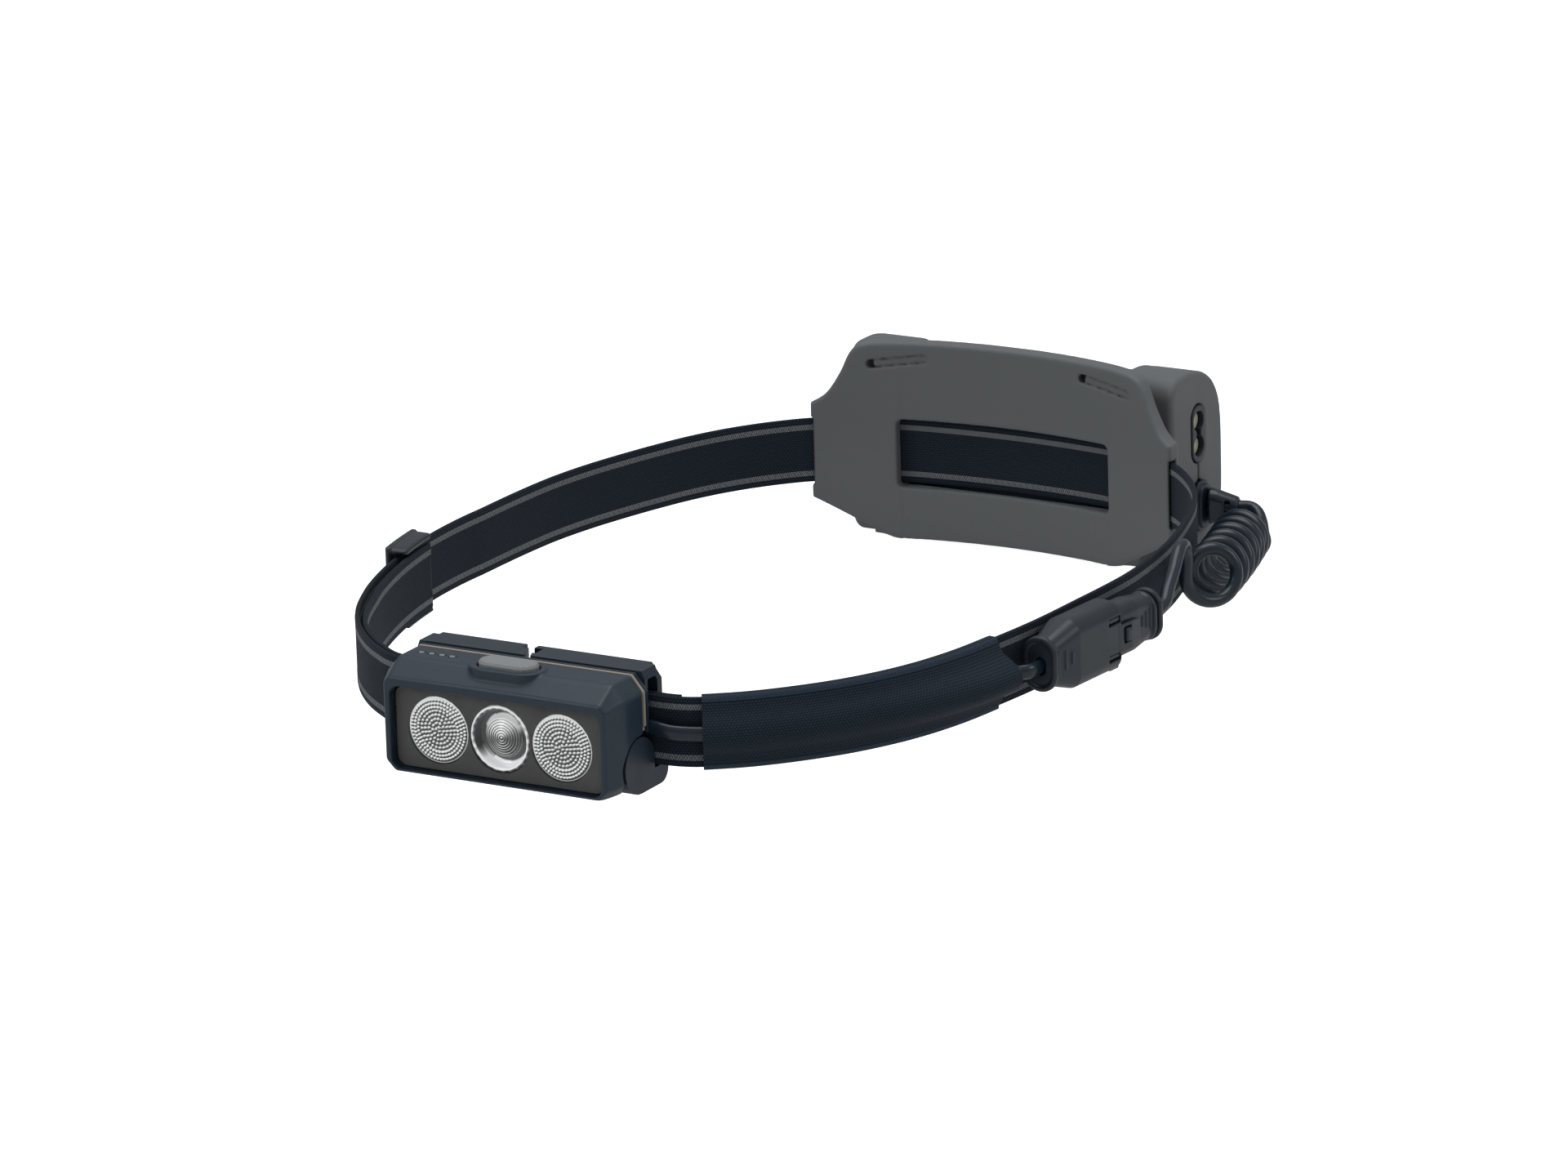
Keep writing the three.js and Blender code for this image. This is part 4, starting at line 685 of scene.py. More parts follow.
# ------------------------------------------------------------------ cable sleeve, right side
# Lower half of the sleeve's section: distance beyond the tape's face (negative: head side), up
SLEEVE_LOWER = np.array([
    (-0.95, -7.3), (-0.7, -7.75), (-0.1, -7.95), (0.2, -7.95), (0.62, -7.75), (0.78, -7.3),
    (0.80, -6.9), (0.98, -6.55), (1.1, -5.9), (1.5, -4.6), (2.4, -3.6), (3.2, -2.6),
    (3.75, -1.4)])
HEAD_SIDE = [(-1.0, 4.0), (-1.0, 0), (-1.0, -4.0)]
POUCH_FROM = HALF_T + 0.81           # beyond this the cloth lifts over the lead

right_curve = smooth_curve(FRONT_CORNER[1:] + RIGHT_SIDE)
sleeve_outer = np.vstack([SLEEVE_LOWER, (3.95, 0), SLEEVE_LOWER[::-1] * (1, -1), HEAD_SIDE])
sleeve_outer[:, 0] += np.copysign(HALF_T, sleeve_outer[:, 0])


def sleeve_inner():
    """The cloth's inner face, a little inside the outer one."""
    out, up = sleeve_outer.T
    pouch = out > HALF_T + 0.85
    flat = np.where(out > 0, np.maximum(out - 0.42, HALF_T + 0.22), -HALF_T - 0.3)
    return np.stack([np.where(pouch, out - 0.65, flat),
                     np.where(pouch, up * 0.93, np.clip(up, -7.6, 7.6))], 1)


def sleeve_rings(section, path, normals):
    """The pouch lifts towards the connector, with soft waves that fade at the hems."""
    out, up = section.T
    share = np.arange(len(path)) / (len(path) - 1)
    lift = 1 + ease(share, 0.4, 1.0) * 3.4 / 3.15
    lifted = POUCH_FROM + (out - POUCH_FROM) * lift[:, None]
    wave = 0.10 * np.sin(share * 23.0)[:, None] * np.clip(1 - np.abs(up) / 6.5, 0, 1)
    return upright_rings(path, normals, np.where(out > POUCH_FROM, lifted + wave, out), up)


def build_sleeve():
    path = resample(right_curve, 840)
    first = np.argmax(path[:, 0] >= 37.9)
    last = np.argmax((path[:, 1] >= -40.6) & (path[:, 0] > 40))
    normals = path_normals(path)[first:last + 1]
    path = path[first:last + 1]
    outside = sleeve_rings(sleeve_outer, path, normals)
    inside = sleeve_rings(sleeve_inner(), path, normals)
    # a ring midway between the two faces closes each end
    rings = np.concatenate([outside, 0.5 * (outside[-1:] + inside[-1:]),
                            inside[::-1], 0.5 * (outside[:1] + inside[:1])], 0)
    along = run_length(path)
    along = np.r_[along, along[-1] + 0.3, along[::-1] + 0.6, -0.3]
    return loft("cable_sleeve_cloth", rings, closed=True, uv=(along, run_length(sleeve_outer)))


register(build_sleeve(), "sleeve_fabric", "cable_sleeve", rides="headset")


# ------------------------------------------------------------------ front lead
def lead_points():
    """Out of the lamp, along the tape inside the sleeve, then onto the connector's axis."""
    path = resample(right_curve, 42)
    normals = path_normals(path)
    enter = np.argmax(path[:, 0] >= 37)
    first = np.argmax(path[:, 0] >= 38.2)
    last = np.argmax((path[:, 1] >= -41.2) & (path[:, 0] > 40))
    against_tape = HALF_T + 0.55 + LEAD_W / 2
    points = [(19.7, -105.4, 1.1), (24.5, -105.4, 1.1), (28.5, -105.4, 0.9), (33.0, -105.3, 0.4)]
    for i in range(enter, last, 2)[:-1]:
        share = max(0, (i - first) / (last - first))
        out = against_tape + ease(share, 0.5, 1.0) * 2.0
        points.append((*(path[i] + normals[i] * out), 0.2 * (1 - share)))
    points.append((*(path[last] + normals[last] * (against_tape + 2.3)), 0))
    return points + [plug_point(along) for along in (-5.5, -1.2, 6)]


lead = sweep("front_lead", lead_points(), LEAD_W, LEAD_H, steps=260, level=True)
register(lead, "cable_jacket", "front_cable")
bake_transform(lead)

# ------------------------------------------------------------------ coiled lead
COIL_R = 5.3
COIL_FROM, COIL_TO = np.array([78.5, 48.8, -2.0]), np.array([53.2, 112.4, -13.4])
COIL_LEAD_IN, COIL_TURN = 270, 2052  # degrees wound before COIL_FROM, and from there to COIL_TO
COIL_BOW = np.array([0.48, -0.83, 0.286])      # direction in which the coil sags
FROM_PLUG = [                        # (x, y, z) from the connector to the coil
    plug_point(35.2), plug_point(41), (83.6, 15.6, 0.8), (82.8, 19.1, 2.9), (82.2, 21.8, 4.3),
    (81.5, 24.6, 5.7), (80.9, 27.0, 7.3), (80.3, 29.5, 8.7), (79.7, 32.3, 8.9),
    (79.2, 34.6, 7.2), (78.8, 35.7, 4.4),
]
TO_BATTERY = [                       # (x, y, z) from the coil to the battery holder
    (57.6, 113.9, -12.8), (56.6, 115.0, -10.6), (55.0, 116.3, -9.0), (53.0, 117.0, -8.3),
    (50.5, 116.6, -8.3), (47.0, 115.3, -8.4),
]


def coil_turns():
    axis = COIL_TO - COIL_FROM
    run = axis / np.linalg.norm(axis)
    side = -np.cross([0, 0, 1], run)
    side /= np.linalg.norm(side)
    up = -np.cross(run, side)
    bow = COIL_BOW / np.linalg.norm(COIL_BOW)
    end = COIL_LEAD_IN + COIL_TURN
    degrees = np.r_[-12:2299:30, end][:, None]
    angle, share = np.radians(degrees), np.maximum(0.0, degrees / end)
    sag = 3 * np.cos(angle) * (1 - share) + 36 * share * (1 - share)
    return (COIL_FROM + axis * (degrees - COIL_LEAD_IN) / COIL_TURN
            - side * COIL_R * np.cos(angle) - up * COIL_R * np.sin(angle) + bow * sag)


coil = sweep("coiled_lead", np.vstack([FROM_PLUG, coil_turns(), TO_BATTERY]),
             2 * CABLE_R, 2 * CABLE_R, steps=1500, level=False)
register(coil, "cable_jacket", "coil_cable")
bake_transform(coil)

# ------------------------------------------------------------------ battery holder
PLATE_R, PLATE_CY, PLATE_T = 119.5, -18.7, 4.3     # curved plate: inner radius, centre, thickness
SLOT_X, SLOT_Z, SLOT_RUN, SLOT_DROP = 26.4, 21.62, 12.4, 1.75
# right half of the plate's outline, (x, z)
PLATE_LOWER = [(8, -20.1), (20, -20.1), (27, -20.0), (31, -18.7), (36, -16.3), (41, -13.6),
               (46, -10.9)]
PLATE_UPPER = [(46, 11.4), (44.2, 12.4), (42.5, 13.8), (40.6, 16.6), (39.0, 19.6),
               (37.8, 22.4), (36.4, 24.4), (34.2, 25.4), (30, 25.9), (20, 26.2), (8, 26.3)]
# lower back curve of the pocket: y, height above the pocket's underside
POCKET_BACK = [(108, 0), (110.5, 0.02), (113, 0.2), (115.4, 0.7), (117.6, 1.3), (119.6, 2.2),
               (122.2, 4.0), (124.4, 6.8), (125.7, 9.9), (126.3, 13.7), (126.5, 18.2)]

# the extra first point shapes the upper curve's start, and its span is dropped
half_plate = np.vstack([smooth_curve(PLATE_LOWER, per_span=4),
                        smooth_curve([(47.5, 10.9)] + PLATE_UPPER, per_span=4)[4:]])
PLATE_OUTLINE = np.vstack([half_plate, mirror(half_plate)[::-1]])
behind_head = loop[(loop[:, 1] > 78) & (np.abs(loop[:, 0]) < 60)]
BAND_CHANNEL = behind_head[np.argsort(behind_head[:, 0])][::3]


def pocket_section():
    """(y, z) from the end: small corners towards the head, a long soft curve behind."""
    half = PACK_HALF_Z + GAP + SKIN
    top, bottom, radius, front = PACK_CZ + half, PACK_CZ - half, 4.8, 101.9

    def corner(z, start):
        angle = np.radians(start + 9 * np.arange(11))
        return np.stack([front + radius + radius * np.cos(angle), z + radius * np.sin(angle)], 1)

    back = smooth_curve(POCKET_BACK, per_span=4)
    return np.vstack([corner(bottom + radius, 180), back + (0, bottom),
                      (back * (1, -1) + (0, top))[::-1], corner(top - radius, 90)])


POCKET_SECTION = pocket_section()


def holder(x, y, z):
    ax = np.abs(x)
    radius = np.hypot(x, y - PLATE_CY)
    depth = radius - PLATE_R
    plate = intersect(polygon(x, z, PLATE_OUTLINE),
                      span(radius, PLATE_R + PLATE_T / 2, PLATE_T / 2), 0.9)
    section = polygon(y, z, POCKET_SECTION)
    # a pocket at each end, joined to the plate by upright webs
    pocket = intersect(section, between(ax, 27.0, END_X), 1.35)
    pocket = np.maximum(pocket, 26.7 - ax)
    web = overlap(span(ax, 30.25, 3.25), span(z, PACK_CZ, 20.55), between(y, 98.5, 104.2),
                  0.6 - depth)
    d = join(plate, join(pocket, web, 0.8), 1.2)
    # room for the battery pack
    past_front = PACK_FRONT - GAP - y
    d = cut(d, overlap(section + SKIN, past_front, ax - PACK_HALF_X - GAP), 0.25)
    opening = rect(x, z, (0, PACK_CZ), (30, PACK_HALF_Z + GAP), 0.3)
    d = cut(d, np.maximum(opening, past_front), 0.3)
    # channel for the tape, opening towards the pack and towards the head
    channel = path_distance(x, y, BAND_CHANNEL) - HALF_T - 0.42
    d = cut(d, intersect(channel, np.abs(z) - 7.9, 0.2), 0.3)
    d = cut(d, np.maximum(rect(x, z, (0, 0), (31, 8.6), 0.5), between(y, 102.6, 110)), 0.3)
    d = cut(d, np.maximum(rect(x, z, (0, 0), (27.05, 8.0), 1.4), y - 102.8), 0.55)
    # sloping slots near the top, each filled by a rounded bar that stops short of its left end
    length = math.hypot(SLOT_RUN, SLOT_DROP)
    run_x, run_z = SLOT_RUN / length, -SLOT_DROP / length
    along = (ax - SLOT_X) * run_x + (z - SLOT_Z) * run_z
    across = -(ax - SLOT_X) * run_z + (z - SLOT_Z) * run_x
    d = cut(d, np.maximum(rect(along, across, (0, 0), (7.2, 1.05), 1.04), depth - 2.6), 0.25)
    bar = intersect(np.sqrt(across**2 + (depth - 1.36) ** 2) - 1.13,
                    span(along, 0.85 * np.sign(x), 6.4), 0.35)
    d = np.minimum(d, np.maximum(bar, depth - 2.7))
    # port, cable flange and slit in the right end: centre, half size, corner, edge radius
    for centre, half, corner, edge in (
            ((PORT_Y, PORT_Z), (PORT_W / 2 + 0.1, PORT_L / 2 + 0.1), PORT_W / 2 + 0.05, 0.3),
            ((FLANGE_Y, FLANGE_Z), (FLANGE_W / 2 - 0.15, FLANGE_L / 2 - 0.2),
             FLANGE_W / 2 - 0.2, 0.2),
            ((PORT_Y, -0.5), (0.3, 3.5), 0.05, 0.12)):
        d = cut(d, np.maximum(rect(y, z, centre, half, corner), 38.0 - x), edge)
    return d


piece = mesh_field("battery_holder_rubber", holder, (-48.5, 78.0, -24.5), (48.5, 128.5, 27.5),
                   cell=0.42)
register(piece, "holder_grey", "battery_holder", rides="headset")

# ------------------------------------------------------------------ connector
FINE_CELL = 0.2
CONNECTOR_Z = 0.6                    # height of the shells' middle
# ribs on both sides: y along the axis, half height, x from the middle
SOCKET_RIBS = ((0.1, 2.9, 3.44), (2.5, 2.2, 3.76), (4.6, 1.35, 4.05))
PLUG_RIBS = ((32.8, 1.25, 3.40), (34.5, 1.8, 3.31), (36.1, 2.3, 3.22))


def place_connector(points):
    x, y, z = points.T
    return np.stack([PLUG_START[0] + x * PLUG_AXIS[1] + y * PLUG_AXIS[0],
                     PLUG_START[1] - x * PLUG_AXIS[0] + y * PLUG_AXIS[1], z], 1)


def socket(x, y, z):
    middle = (0, CONNECTOR_Z)
    half = (np.interp(y, [-0.9, 7.2, 22.8], [3.3, 4.4, 4.4]),
            np.interp(y, [-0.9, 7.2, 22.8], [5.0, 7.6, 7.6]))
    body = rect(x, z, middle, half, np.interp(y, [-0.9, 7.2], [2.9, 3.3]))
    body = intersect(body, between(y, -0.9, 23.3), 0.45)
    disc = intersect(rect(x, z, (0, 0.5), (4.2, 6.05), 4.15), span(y, -1.43, 0.72), 0.5)
    d = join(body, disc, 0.3)
    for along, half_z, from_middle in SOCKET_RIBS:
        rib = intersect(rect(y, z, (along, 0.75), (0.36, half_z), 0.3),
                        span(np.abs(x), from_middle, 0.30), 0.16)
        d = join(d, rib, 0.08)
    # lip under the open end
    lip = intersect(rect(x, z, (0, -6.4), (2.75, 0.62), 0.5), span(y, 22.9, 1.75), 0.5)
    d = join(d, lip, 0.3)
    # cup at the cable end, cavity for the plug, cable bore and the recess between them
    d = cut(d, intersect(rect(x, z, (0, 0.4), (3.1, 4.8), 3.0), y + 1.72, 0.35), 0.3)
    d = cut(d, np.maximum(rect(x, z, middle, (3.5, 4.6), 2.4), 8 - y), 0.2)
    d = cut(d, np.maximum(rect(x, z, (0, 0), (1.3, 1.85), 1.28), y - 3.3), 0.2)
    d = cut(d, np.maximum(rect(x, z, (0, 0.3), (1.7, 2.8), 1.2), span(y, 5.9, 3.1)))
    # latch windows: a narrow gap round a sunk pad
    for height in (-3.4, 4.55):
        d = cut(d, np.maximum(rect(y, z, (20.7, height), (2.35, 0.80), 0.12), 2.9 - x), 0.07)
        pad = rect(y, z, (20.82, height + 0.06), (2.05, 0.50), 0.1)
        d = np.minimum(d, intersect(pad, span(x, 3.45, 0.55), 0.08))
    # tongue that laps over the plug, with a raised grip standing in an opening
    face = np.interp(y, [22, 27.4, 30.9], [4.46, 4.46, 4.06])
    outline = np.abs(z) - np.interp(y, [22, 27.6, 30.9], [3.05, 2.98, 2.7])
    tongue = intersect(intersect(outline, y - 30.9, 0.9), span(x, face - 0.33, 0.33), 0.13)
    d = join(d, np.maximum(tongue, 22.2 - y), 0.05)
    d = cut(d, np.maximum(rect(y, z, (25.5, 0.5), (1.45, 1.78), 0.3), 4.0 - x), 0.06)
    grip = rect(y, z, (25.72, 0.46), (1.08, 1.45), 0.3)
    return np.minimum(d, intersect(grip, span(x, 4.3, 0.68), 0.45))


def plug(x, y, z):
    middle = (0, CONNECTOR_Z)
    half = (np.interp(y, [31, 37.4], [3.5, 3.15]), np.interp(y, [31, 37.4], [5.85, 4.95]))
    body = intersect(rect(x, z, middle, half, 2.7), between(y, 23.8, 38.0), 0.3)
    # two collars at the cable end with a neck between them
    collar = intersect(rect(x, z, middle, (3.85, 5.45), 3.8), span(y, 37.6, 0.6), 0.42)
    d = join(body, collar, 0.3)
    d = np.minimum(d, np.maximum(rect(x, z, middle, (3.1, 4.6), 2.9), span(y, 38.4, 0.9)))
    collar = intersect(rect(x, z, middle, (4.0, 5.75), 3.95), span(y, 39.65, 0.7), 0.5)
    d = np.minimum(d, collar)
    # nose that enters the socket, with a groove round it
    nose = intersect(rect(x, z, middle, (3.15, 4.25), 2.1), between(y, 11.0, 24.5), 0.3)
    d = join(d, nose, 0.1)
    groove = cut(rect(x, z, middle, (3.6, 4.7), 2.4), rect(x, z, middle, (2.65, 3.75), 1.8))
    d = cut(d, np.maximum(groove, span(y, 13.7, 0.7)), 0.1)
    for along, half_z, from_middle in PLUG_RIBS:
        rib = intersect(rect(y, z, (along, 1.2), (0.30, half_z), 0.26),
                        span(np.abs(x), from_middle, 0.30), 0.14)
        d = join(d, rib, 0.08)
    d = cut(d, np.maximum(np.hypot(x, z) - CABLE_R - 0.15, 34.5 - y), 0.15)
    for side in (-1, 1):             # pin holes
        d = cut(d, np.maximum(np.hypot(x, z - side * 1.9) - 0.75, y - 17.5), 0.1)
    return d


piece = mesh_field("connector_socket_shell", socket, (-5.4, -3.0, -8.0), (5.8, 31.8, 9.2),
                   FINE_CELL, place_connector)
register(piece, "connector_plastic", "connector_socket", rides="headset")
piece = mesh_field("connector_plug_shell", plug, (-4.9, 10.4, -6.0), (4.9, 41.2, 7.2),
                   FINE_CELL, place_connector)
register(piece, "connector_plastic", "connector_plug", rides="plug")

# ------------------------------------------------------------------ strap slider
# It is bent round the arc of the loop's left side. Its ends are y from the arc's centre.
slider_from, slider_to = math.asin(-32.6 / ARC_R), math.asin(-17.2 / ARC_R)
slider_angle = (slider_from + slider_to) / 2
SLIDER_HALF = (slider_to - slider_from) / 2 * ARC_R


def slider(x, y, z):
    out = np.hypot(x - ARC_X, y - ARC_Y) - ARC_R         # away from the head is positive
    along = (np.arctan2(y - ARC_Y, ARC_X - x) - slider_angle) * ARC_R
    ends = np.abs(along) - SLIDER_HALF
    az = np.abs(z)
    plate = intersect(rect(out, z, (HALF_T + 1.05, 0.75), (0.72, 9.1), 0.5), ends, 0.9)
    cap = intersect(rect(out, z, (-0.35, 8.85), (2.45, 0.98), 0.9), ends, 1.9)
    low = intersect(rect(out, z, (-0.35, -8.02), (2.2, 0.36), 0.3), ends, 1.3)
    # the cap slopes down on its head side and at both ends
    slope = 0.10 * np.maximum(-out, 0) + 0.02 * np.maximum(np.abs(along) - 3.5, 0) ** 2
    cap = intersect(cap, az - 9.85 + slope, 0.5)
    d = join(join(plate, cap, 0.5), low, 0.3)
    bar = intersect(rect(out, along, (-0.5 * STRAP_OFF, 0), (0.38, 2.2), 0.3), az - 8.15, 0.2)
    return np.minimum(d, bar)


slider_x = ARC_X - ARC_R * math.cos(slider_angle)
slider_y = ARC_Y + ARC_R * math.sin(slider_angle)
piece = mesh_field("strap_slider_moulding", slider, (slider_x - 6.2, slider_y - 10, -10.6),
                   (slider_x + 6.2, slider_y + 10, 10.6), FINE_CELL)
register(piece, "connector_plastic", "strap_slider", rides="slider")


# ------------------------------------------------------------------ flange, boot, charging port
def flange(x, y, z):
    def stadium(inset, corner_inset):
        return rect(y, z, (FLANGE_Y, FLANGE_Z), (FLANGE_W / 2 - inset[0], FLANGE_L / 2 - inset[1]),
                    FLANGE_W / 2 - corner_inset)

    neck = intersect(stadium((0.45, 0.5), 0.5), between(x, 37.4, END_X + 0.6), 0.1)
    rim = intersect(stadium((0, 0), 0.02), span(x, END_X + 0.75, 0.4), 0.3)
    step = intersect(stadium((0.7, 0.8), 0.75), span(x, END_X + 1.2, 0.72), 0.3)
    d = np.minimum(join(rim, step, 0.15), neck)
    return cut(d, np.maximum(np.hypot(y - FLANGE_Y, z - FLANGE_Z) - 1.0, 36 - x))


piece = mesh_field("cable_flange", flange, (36.6, 109.8, -15.6), (44.4, 119.0, -1.4), FINE_CELL)
register(piece, "deep_navy", "cable_gland", rides="headset")

BOOT_START = np.array([END_X + 2.5, FLANGE_Y + 0.3, FLANGE_Z])
BOOT_END = np.array([50.4, 116.55, -8.3])
BOOT_L = np.linalg.norm(BOOT_END - BOOT_START)
BOOT_RUN = (BOOT_END - BOOT_START) / BOOT_L
boot_cross = np.cross([0, 0, 1], BOOT_RUN)
BOOT_SIDE = boot_cross / np.linalg.norm(boot_cross)


def boot(x, y, z):
    px, py, pz = x - BOOT_START[0], y - BOOT_START[1], z - BOOT_START[2]
    along = px * BOOT_RUN[0] + py * BOOT_RUN[1] + pz * BOOT_RUN[2]
    side = px * BOOT_SIDE[0] + py * BOOT_SIDE[1] + pz * BOOT_SIDE[2]
    half_w = np.interp(along, [0, 2, 5, BOOT_L], [2.5, 2.45, 2.3, 2.15])
    half_h = np.interp(along, [0, 2, 5, BOOT_L], [4.3, 3.9, 2.9, 2.3])
    section = np.hypot(side, np.maximum(np.abs(pz) - (half_h - half_w), 0)) - half_w
    d = intersect(section, between(along, 0, BOOT_L), 0.45)
    # relief slot in the side that faces -y
    slot = rect(along, pz, (4.3, 0.2), (0.62, 1.75), 0.6)
    d = cut(d, overlap(slot, np.abs(side) - 6, 0.9 + side), 0.2)
    return cut(d, np.hypot(side, pz) - CABLE_R - 0.12)


piece = mesh_field("cable_boot_moulding", boot, (42.6, 108.6, -14.4), (52.6, 120.6, -2.2),
                   FINE_CELL)
register(piece, "cable_jacket", "cable_boot", rides="headset")


def port_frame(x, y, z):
    def stadium(inset, corner_inset):
        return rect(y, z, (PORT_Y, PORT_Z), (PORT_W / 2 - inset, PORT_L / 2 - inset),
                    PORT_W / 2 - corner_inset)

    d = intersect(stadium(0.2, 0.25), between(x, PACK_HALF_X + 0.1, END_X + 0.2), 0.3)
    d = np.minimum(d, np.maximum(stadium(0.9, 0.95), between(x, 38.7, END_X)))
    # two round wells joined by a bridge, and a contact hole in each
    from_pins = [np.hypot(y - PORT_Y, z - PORT_Z - side * 2.9) for side in (-1, 1)]
    wells = join(np.minimum(*from_pins) - 2.3,
                 rect(y, z, (PORT_Y, PORT_Z), (0.95, 2.9), 0.1), 0.35)
    d = cut(d, np.maximum(wells, 39.6 - x), 0.22)
    for from_pin in from_pins:
        d = cut(d, from_pin - 1.0)
    return d


piece = mesh_field("charging_port_frame", port_frame, (38.0, 110.4, 0.6), (42.4, 118.4, 16.0),
                   cell=0.18)
register(piece, "deep_navy", "charge_port", rides="headset")

# ------------------------------------------------------------------ lamp front shell
LAMP_HALF_W, LAMP_TOP, LAMP_BOTTOM, LAMP_FRONT, LAMP_BACK = 28.3, 12.5, -11.3, -121.0, -108.6
PIVOT_Y, PIVOT_Z = -110.2, -6.0
BUTTON_Y, BUTTON_L, BUTTON_W = -114.2, 13.6, 6.3
WINDOW_Z = -1.58
# chamfered sections from back to front:
# y, half width, top, bottom, top chamfer (x, z), bottom chamfer (x, z)
LAMP_SECTIONS = (
    (LAMP_BACK, LAMP_HALF_W, LAMP_TOP, LAMP_BOTTOM, (2.8, 3.4), (2.5, 2.7)),
    (-116.0, LAMP_HALF_W, LAMP_TOP, LAMP_BOTTOM, (2.8, 3.4), (2.5, 2.7)),
    (LAMP_FRONT + 1.1, 27.0, 10.0, LAMP_BOTTOM, (1.5, 1.6), (2.3, 2.3)),
    (LAMP_FRONT, 26.6, 9.3, LAMP_BOTTOM + 0.4, (1.3, 1.3), (2.2, 2.2)),
)


def section_points(y, half_w, top, bottom, upper, lower):
    corners = ((half_w - upper[0], top), (half_w, top - upper[1]),
               (half_w, bottom + lower[1]), (half_w - lower[0], bottom))
    return [(side * x, y, z) for x, z in corners for side in (1, -1)]


def hull_planes(points):
    """Outward planes (normal, distance) of the points' convex hull."""
    hull = bmesh.new()
    for point in points:
        hull.verts.new(point)
    bmesh.ops.convex_hull(hull, input=hull.verts)
    hull.normal_update()
    middle = np.mean(np.asarray(points, float), 0)
    planes = []
    for face in hull.faces:
        normal = np.array(face.normal)
        distance = float(normal @ np.array(face.verts[0].co))
        if normal @ middle > distance:
            normal, distance = -normal, -distance
        known = any(abs(distance - e) < 0.02 and normal @ m > 0.9995 for m, e in planes)
        if face.calc_area() > 1e-4 and not known:
            planes.append((normal, distance))
    hull.free()
    return planes


LAMP_PLANES = hull_planes([p for row in LAMP_SECTIONS for p in section_points(*row)])


def lamp_stadium(x, y, centre_y, length, width):
    return np.hypot(np.maximum(np.abs(x) - (length - width) / 2, 0), y - centre_y) - width / 2


def lamp_shell(x, y, z):
    d = None
    for normal, distance in LAMP_PLANES:
        plane = normal[0] * x + normal[1] * y + normal[2] * z - distance
        # the flat back edge stays crisp, the rest is moulded round
        d = plane if d is None else intersect(d, plane, 0.15 if normal[1] > 0.9 else 0.5)
    collar = lamp_stadium(x, y, BUTTON_Y - 0.4, BUTTON_L + 3.6, BUTTON_W + 2.4)
    d = join(d, intersect(collar, between(z, 8.5, 12.95), 0.35), 0.45)
    ax = np.abs(x)
    from_pivot = np.hypot(y - PIVOT_Y, z - PIVOT_Z)
    # recess in each side round the pivot, open to the back
    ear = np.hypot(np.minimum(y - PIVOT_Y, 0), z - PIVOT_Z) - 6.3
    d = cut(d, intersect(ear, 24.5 - ax, 0.2), 0.25)
    # the lower back edge is rounded about the pivot
    d = cut(d, overlap(5.2 - from_pivot, PIVOT_Y - y, z - PIVOT_Z))
    cavity = np.minimum(
        np.maximum(rect(x, z, (0, 0.55), (26.6, 10.45), 3.4), -116.9 - y),
        np.maximum(rect(x, z, (0, -0.4), (26.6, 9.5), 1.5), -118.7 - y))
    cavity = cut(cavity, overlap(23.2 - ax, z - 1.9, -117.9 - y))
    cavity = cut(cavity, overlap(3.9 - from_pivot, PIVOT_Y - y, z - PIVOT_Z))
    d = cut(d, cavity, 0.2)
    # window opening
    d = cut(d, np.maximum(rect(x, z, (0, WINDOW_Z), (25.2, 8.95), 2.4), y + 118.0), 0.32)
    # button seat, the hole under it and four small slots left of it
    seat = lamp_stadium(x, y, BUTTON_Y, BUTTON_L + 0.6, BUTTON_W + 0.6)
    d = cut(d, np.maximum(seat, 11.6 - z), 0.22)
    d = cut(d, np.maximum(lamp_stadium(x, y, BUTTON_Y, 6.6, 3.2), 8 - z))
    for i in range(4):
        slot = lamp_stadium(x + 22.2 - i * 2.47, y, -112.4, 1.7, 1.3)
        d = cut(d, np.maximum(slot, 9 - z), 0.15)
    # pivot holes and screw posts
    d = cut(d, np.maximum(from_pivot - 1.7, 22 - ax))
    from_screw = np.hypot(ax - 25.0, z - 8.6)
    post = overlap(from_screw - 1.9, between(y, -117, LAMP_BACK), ax - 28.0, z - 12.0)
    d = np.minimum(d, post)
    return cut(d, np.maximum(from_screw - 0.95, -114.6 - y))


piece = mesh_field("lamp_front_shell_moulding", lamp_shell, (-28.9, -121.5, -11.9),
                   (28.9, -108.1, 13.5), cell=0.26)
register(piece, "navy_shell", "lamp_front_shell", rides="lamp")

# ------------------------------------------------------------------ optics
LENS_PITCH, LENS_R = 14.81, 7.1
# radii at which the lens faces change: flood's inner field and outer field, then the spot's
# stepped lens, its lip, its sunk collar and its wall
FLOOD_INNER, FLOOD_OUTER = 4.45, 6.78
SPOT_LENS, SPOT_LIP, SPOT_COLLAR, SPOT_WALL = 4.15, 4.4, 5.9, 6.25
SPOT_STEP = 0.55
INNER_PILLOWS = dict(pitch=0.89, start=0.0, twist=0.31)
OUTER_PILLOWS = dict(pitch=0.777, start=FLOOD_INNER, twist=0.0)
# (r, y) from the rim round the back to the axis
FLOOD_BACK = [(LENS_R, -117.6), (6.95, -117.2), (6.6, -116.2), (6.1, -115.2), (5.2, -113.8),
              (4.5, -113.0), (3.9, -112.3), (2.9, -112.3), (2.8, -112.9), (2.7, -113.6),
              (1.6, -114.2), (0.5, -114.4)]
SPOT_BACK = [(LENS_R, -117.6), (6.95, -117.1), (6.7, -116.4), (6.2, -115.3), (5.6, -114.2),
             (4.8, -113.1), (4.1, -112.3), (3.0, -112.3), (2.9, -113.0), (2.8, -114.0),
             (1.6, -114.4), (0.5, -114.6)]


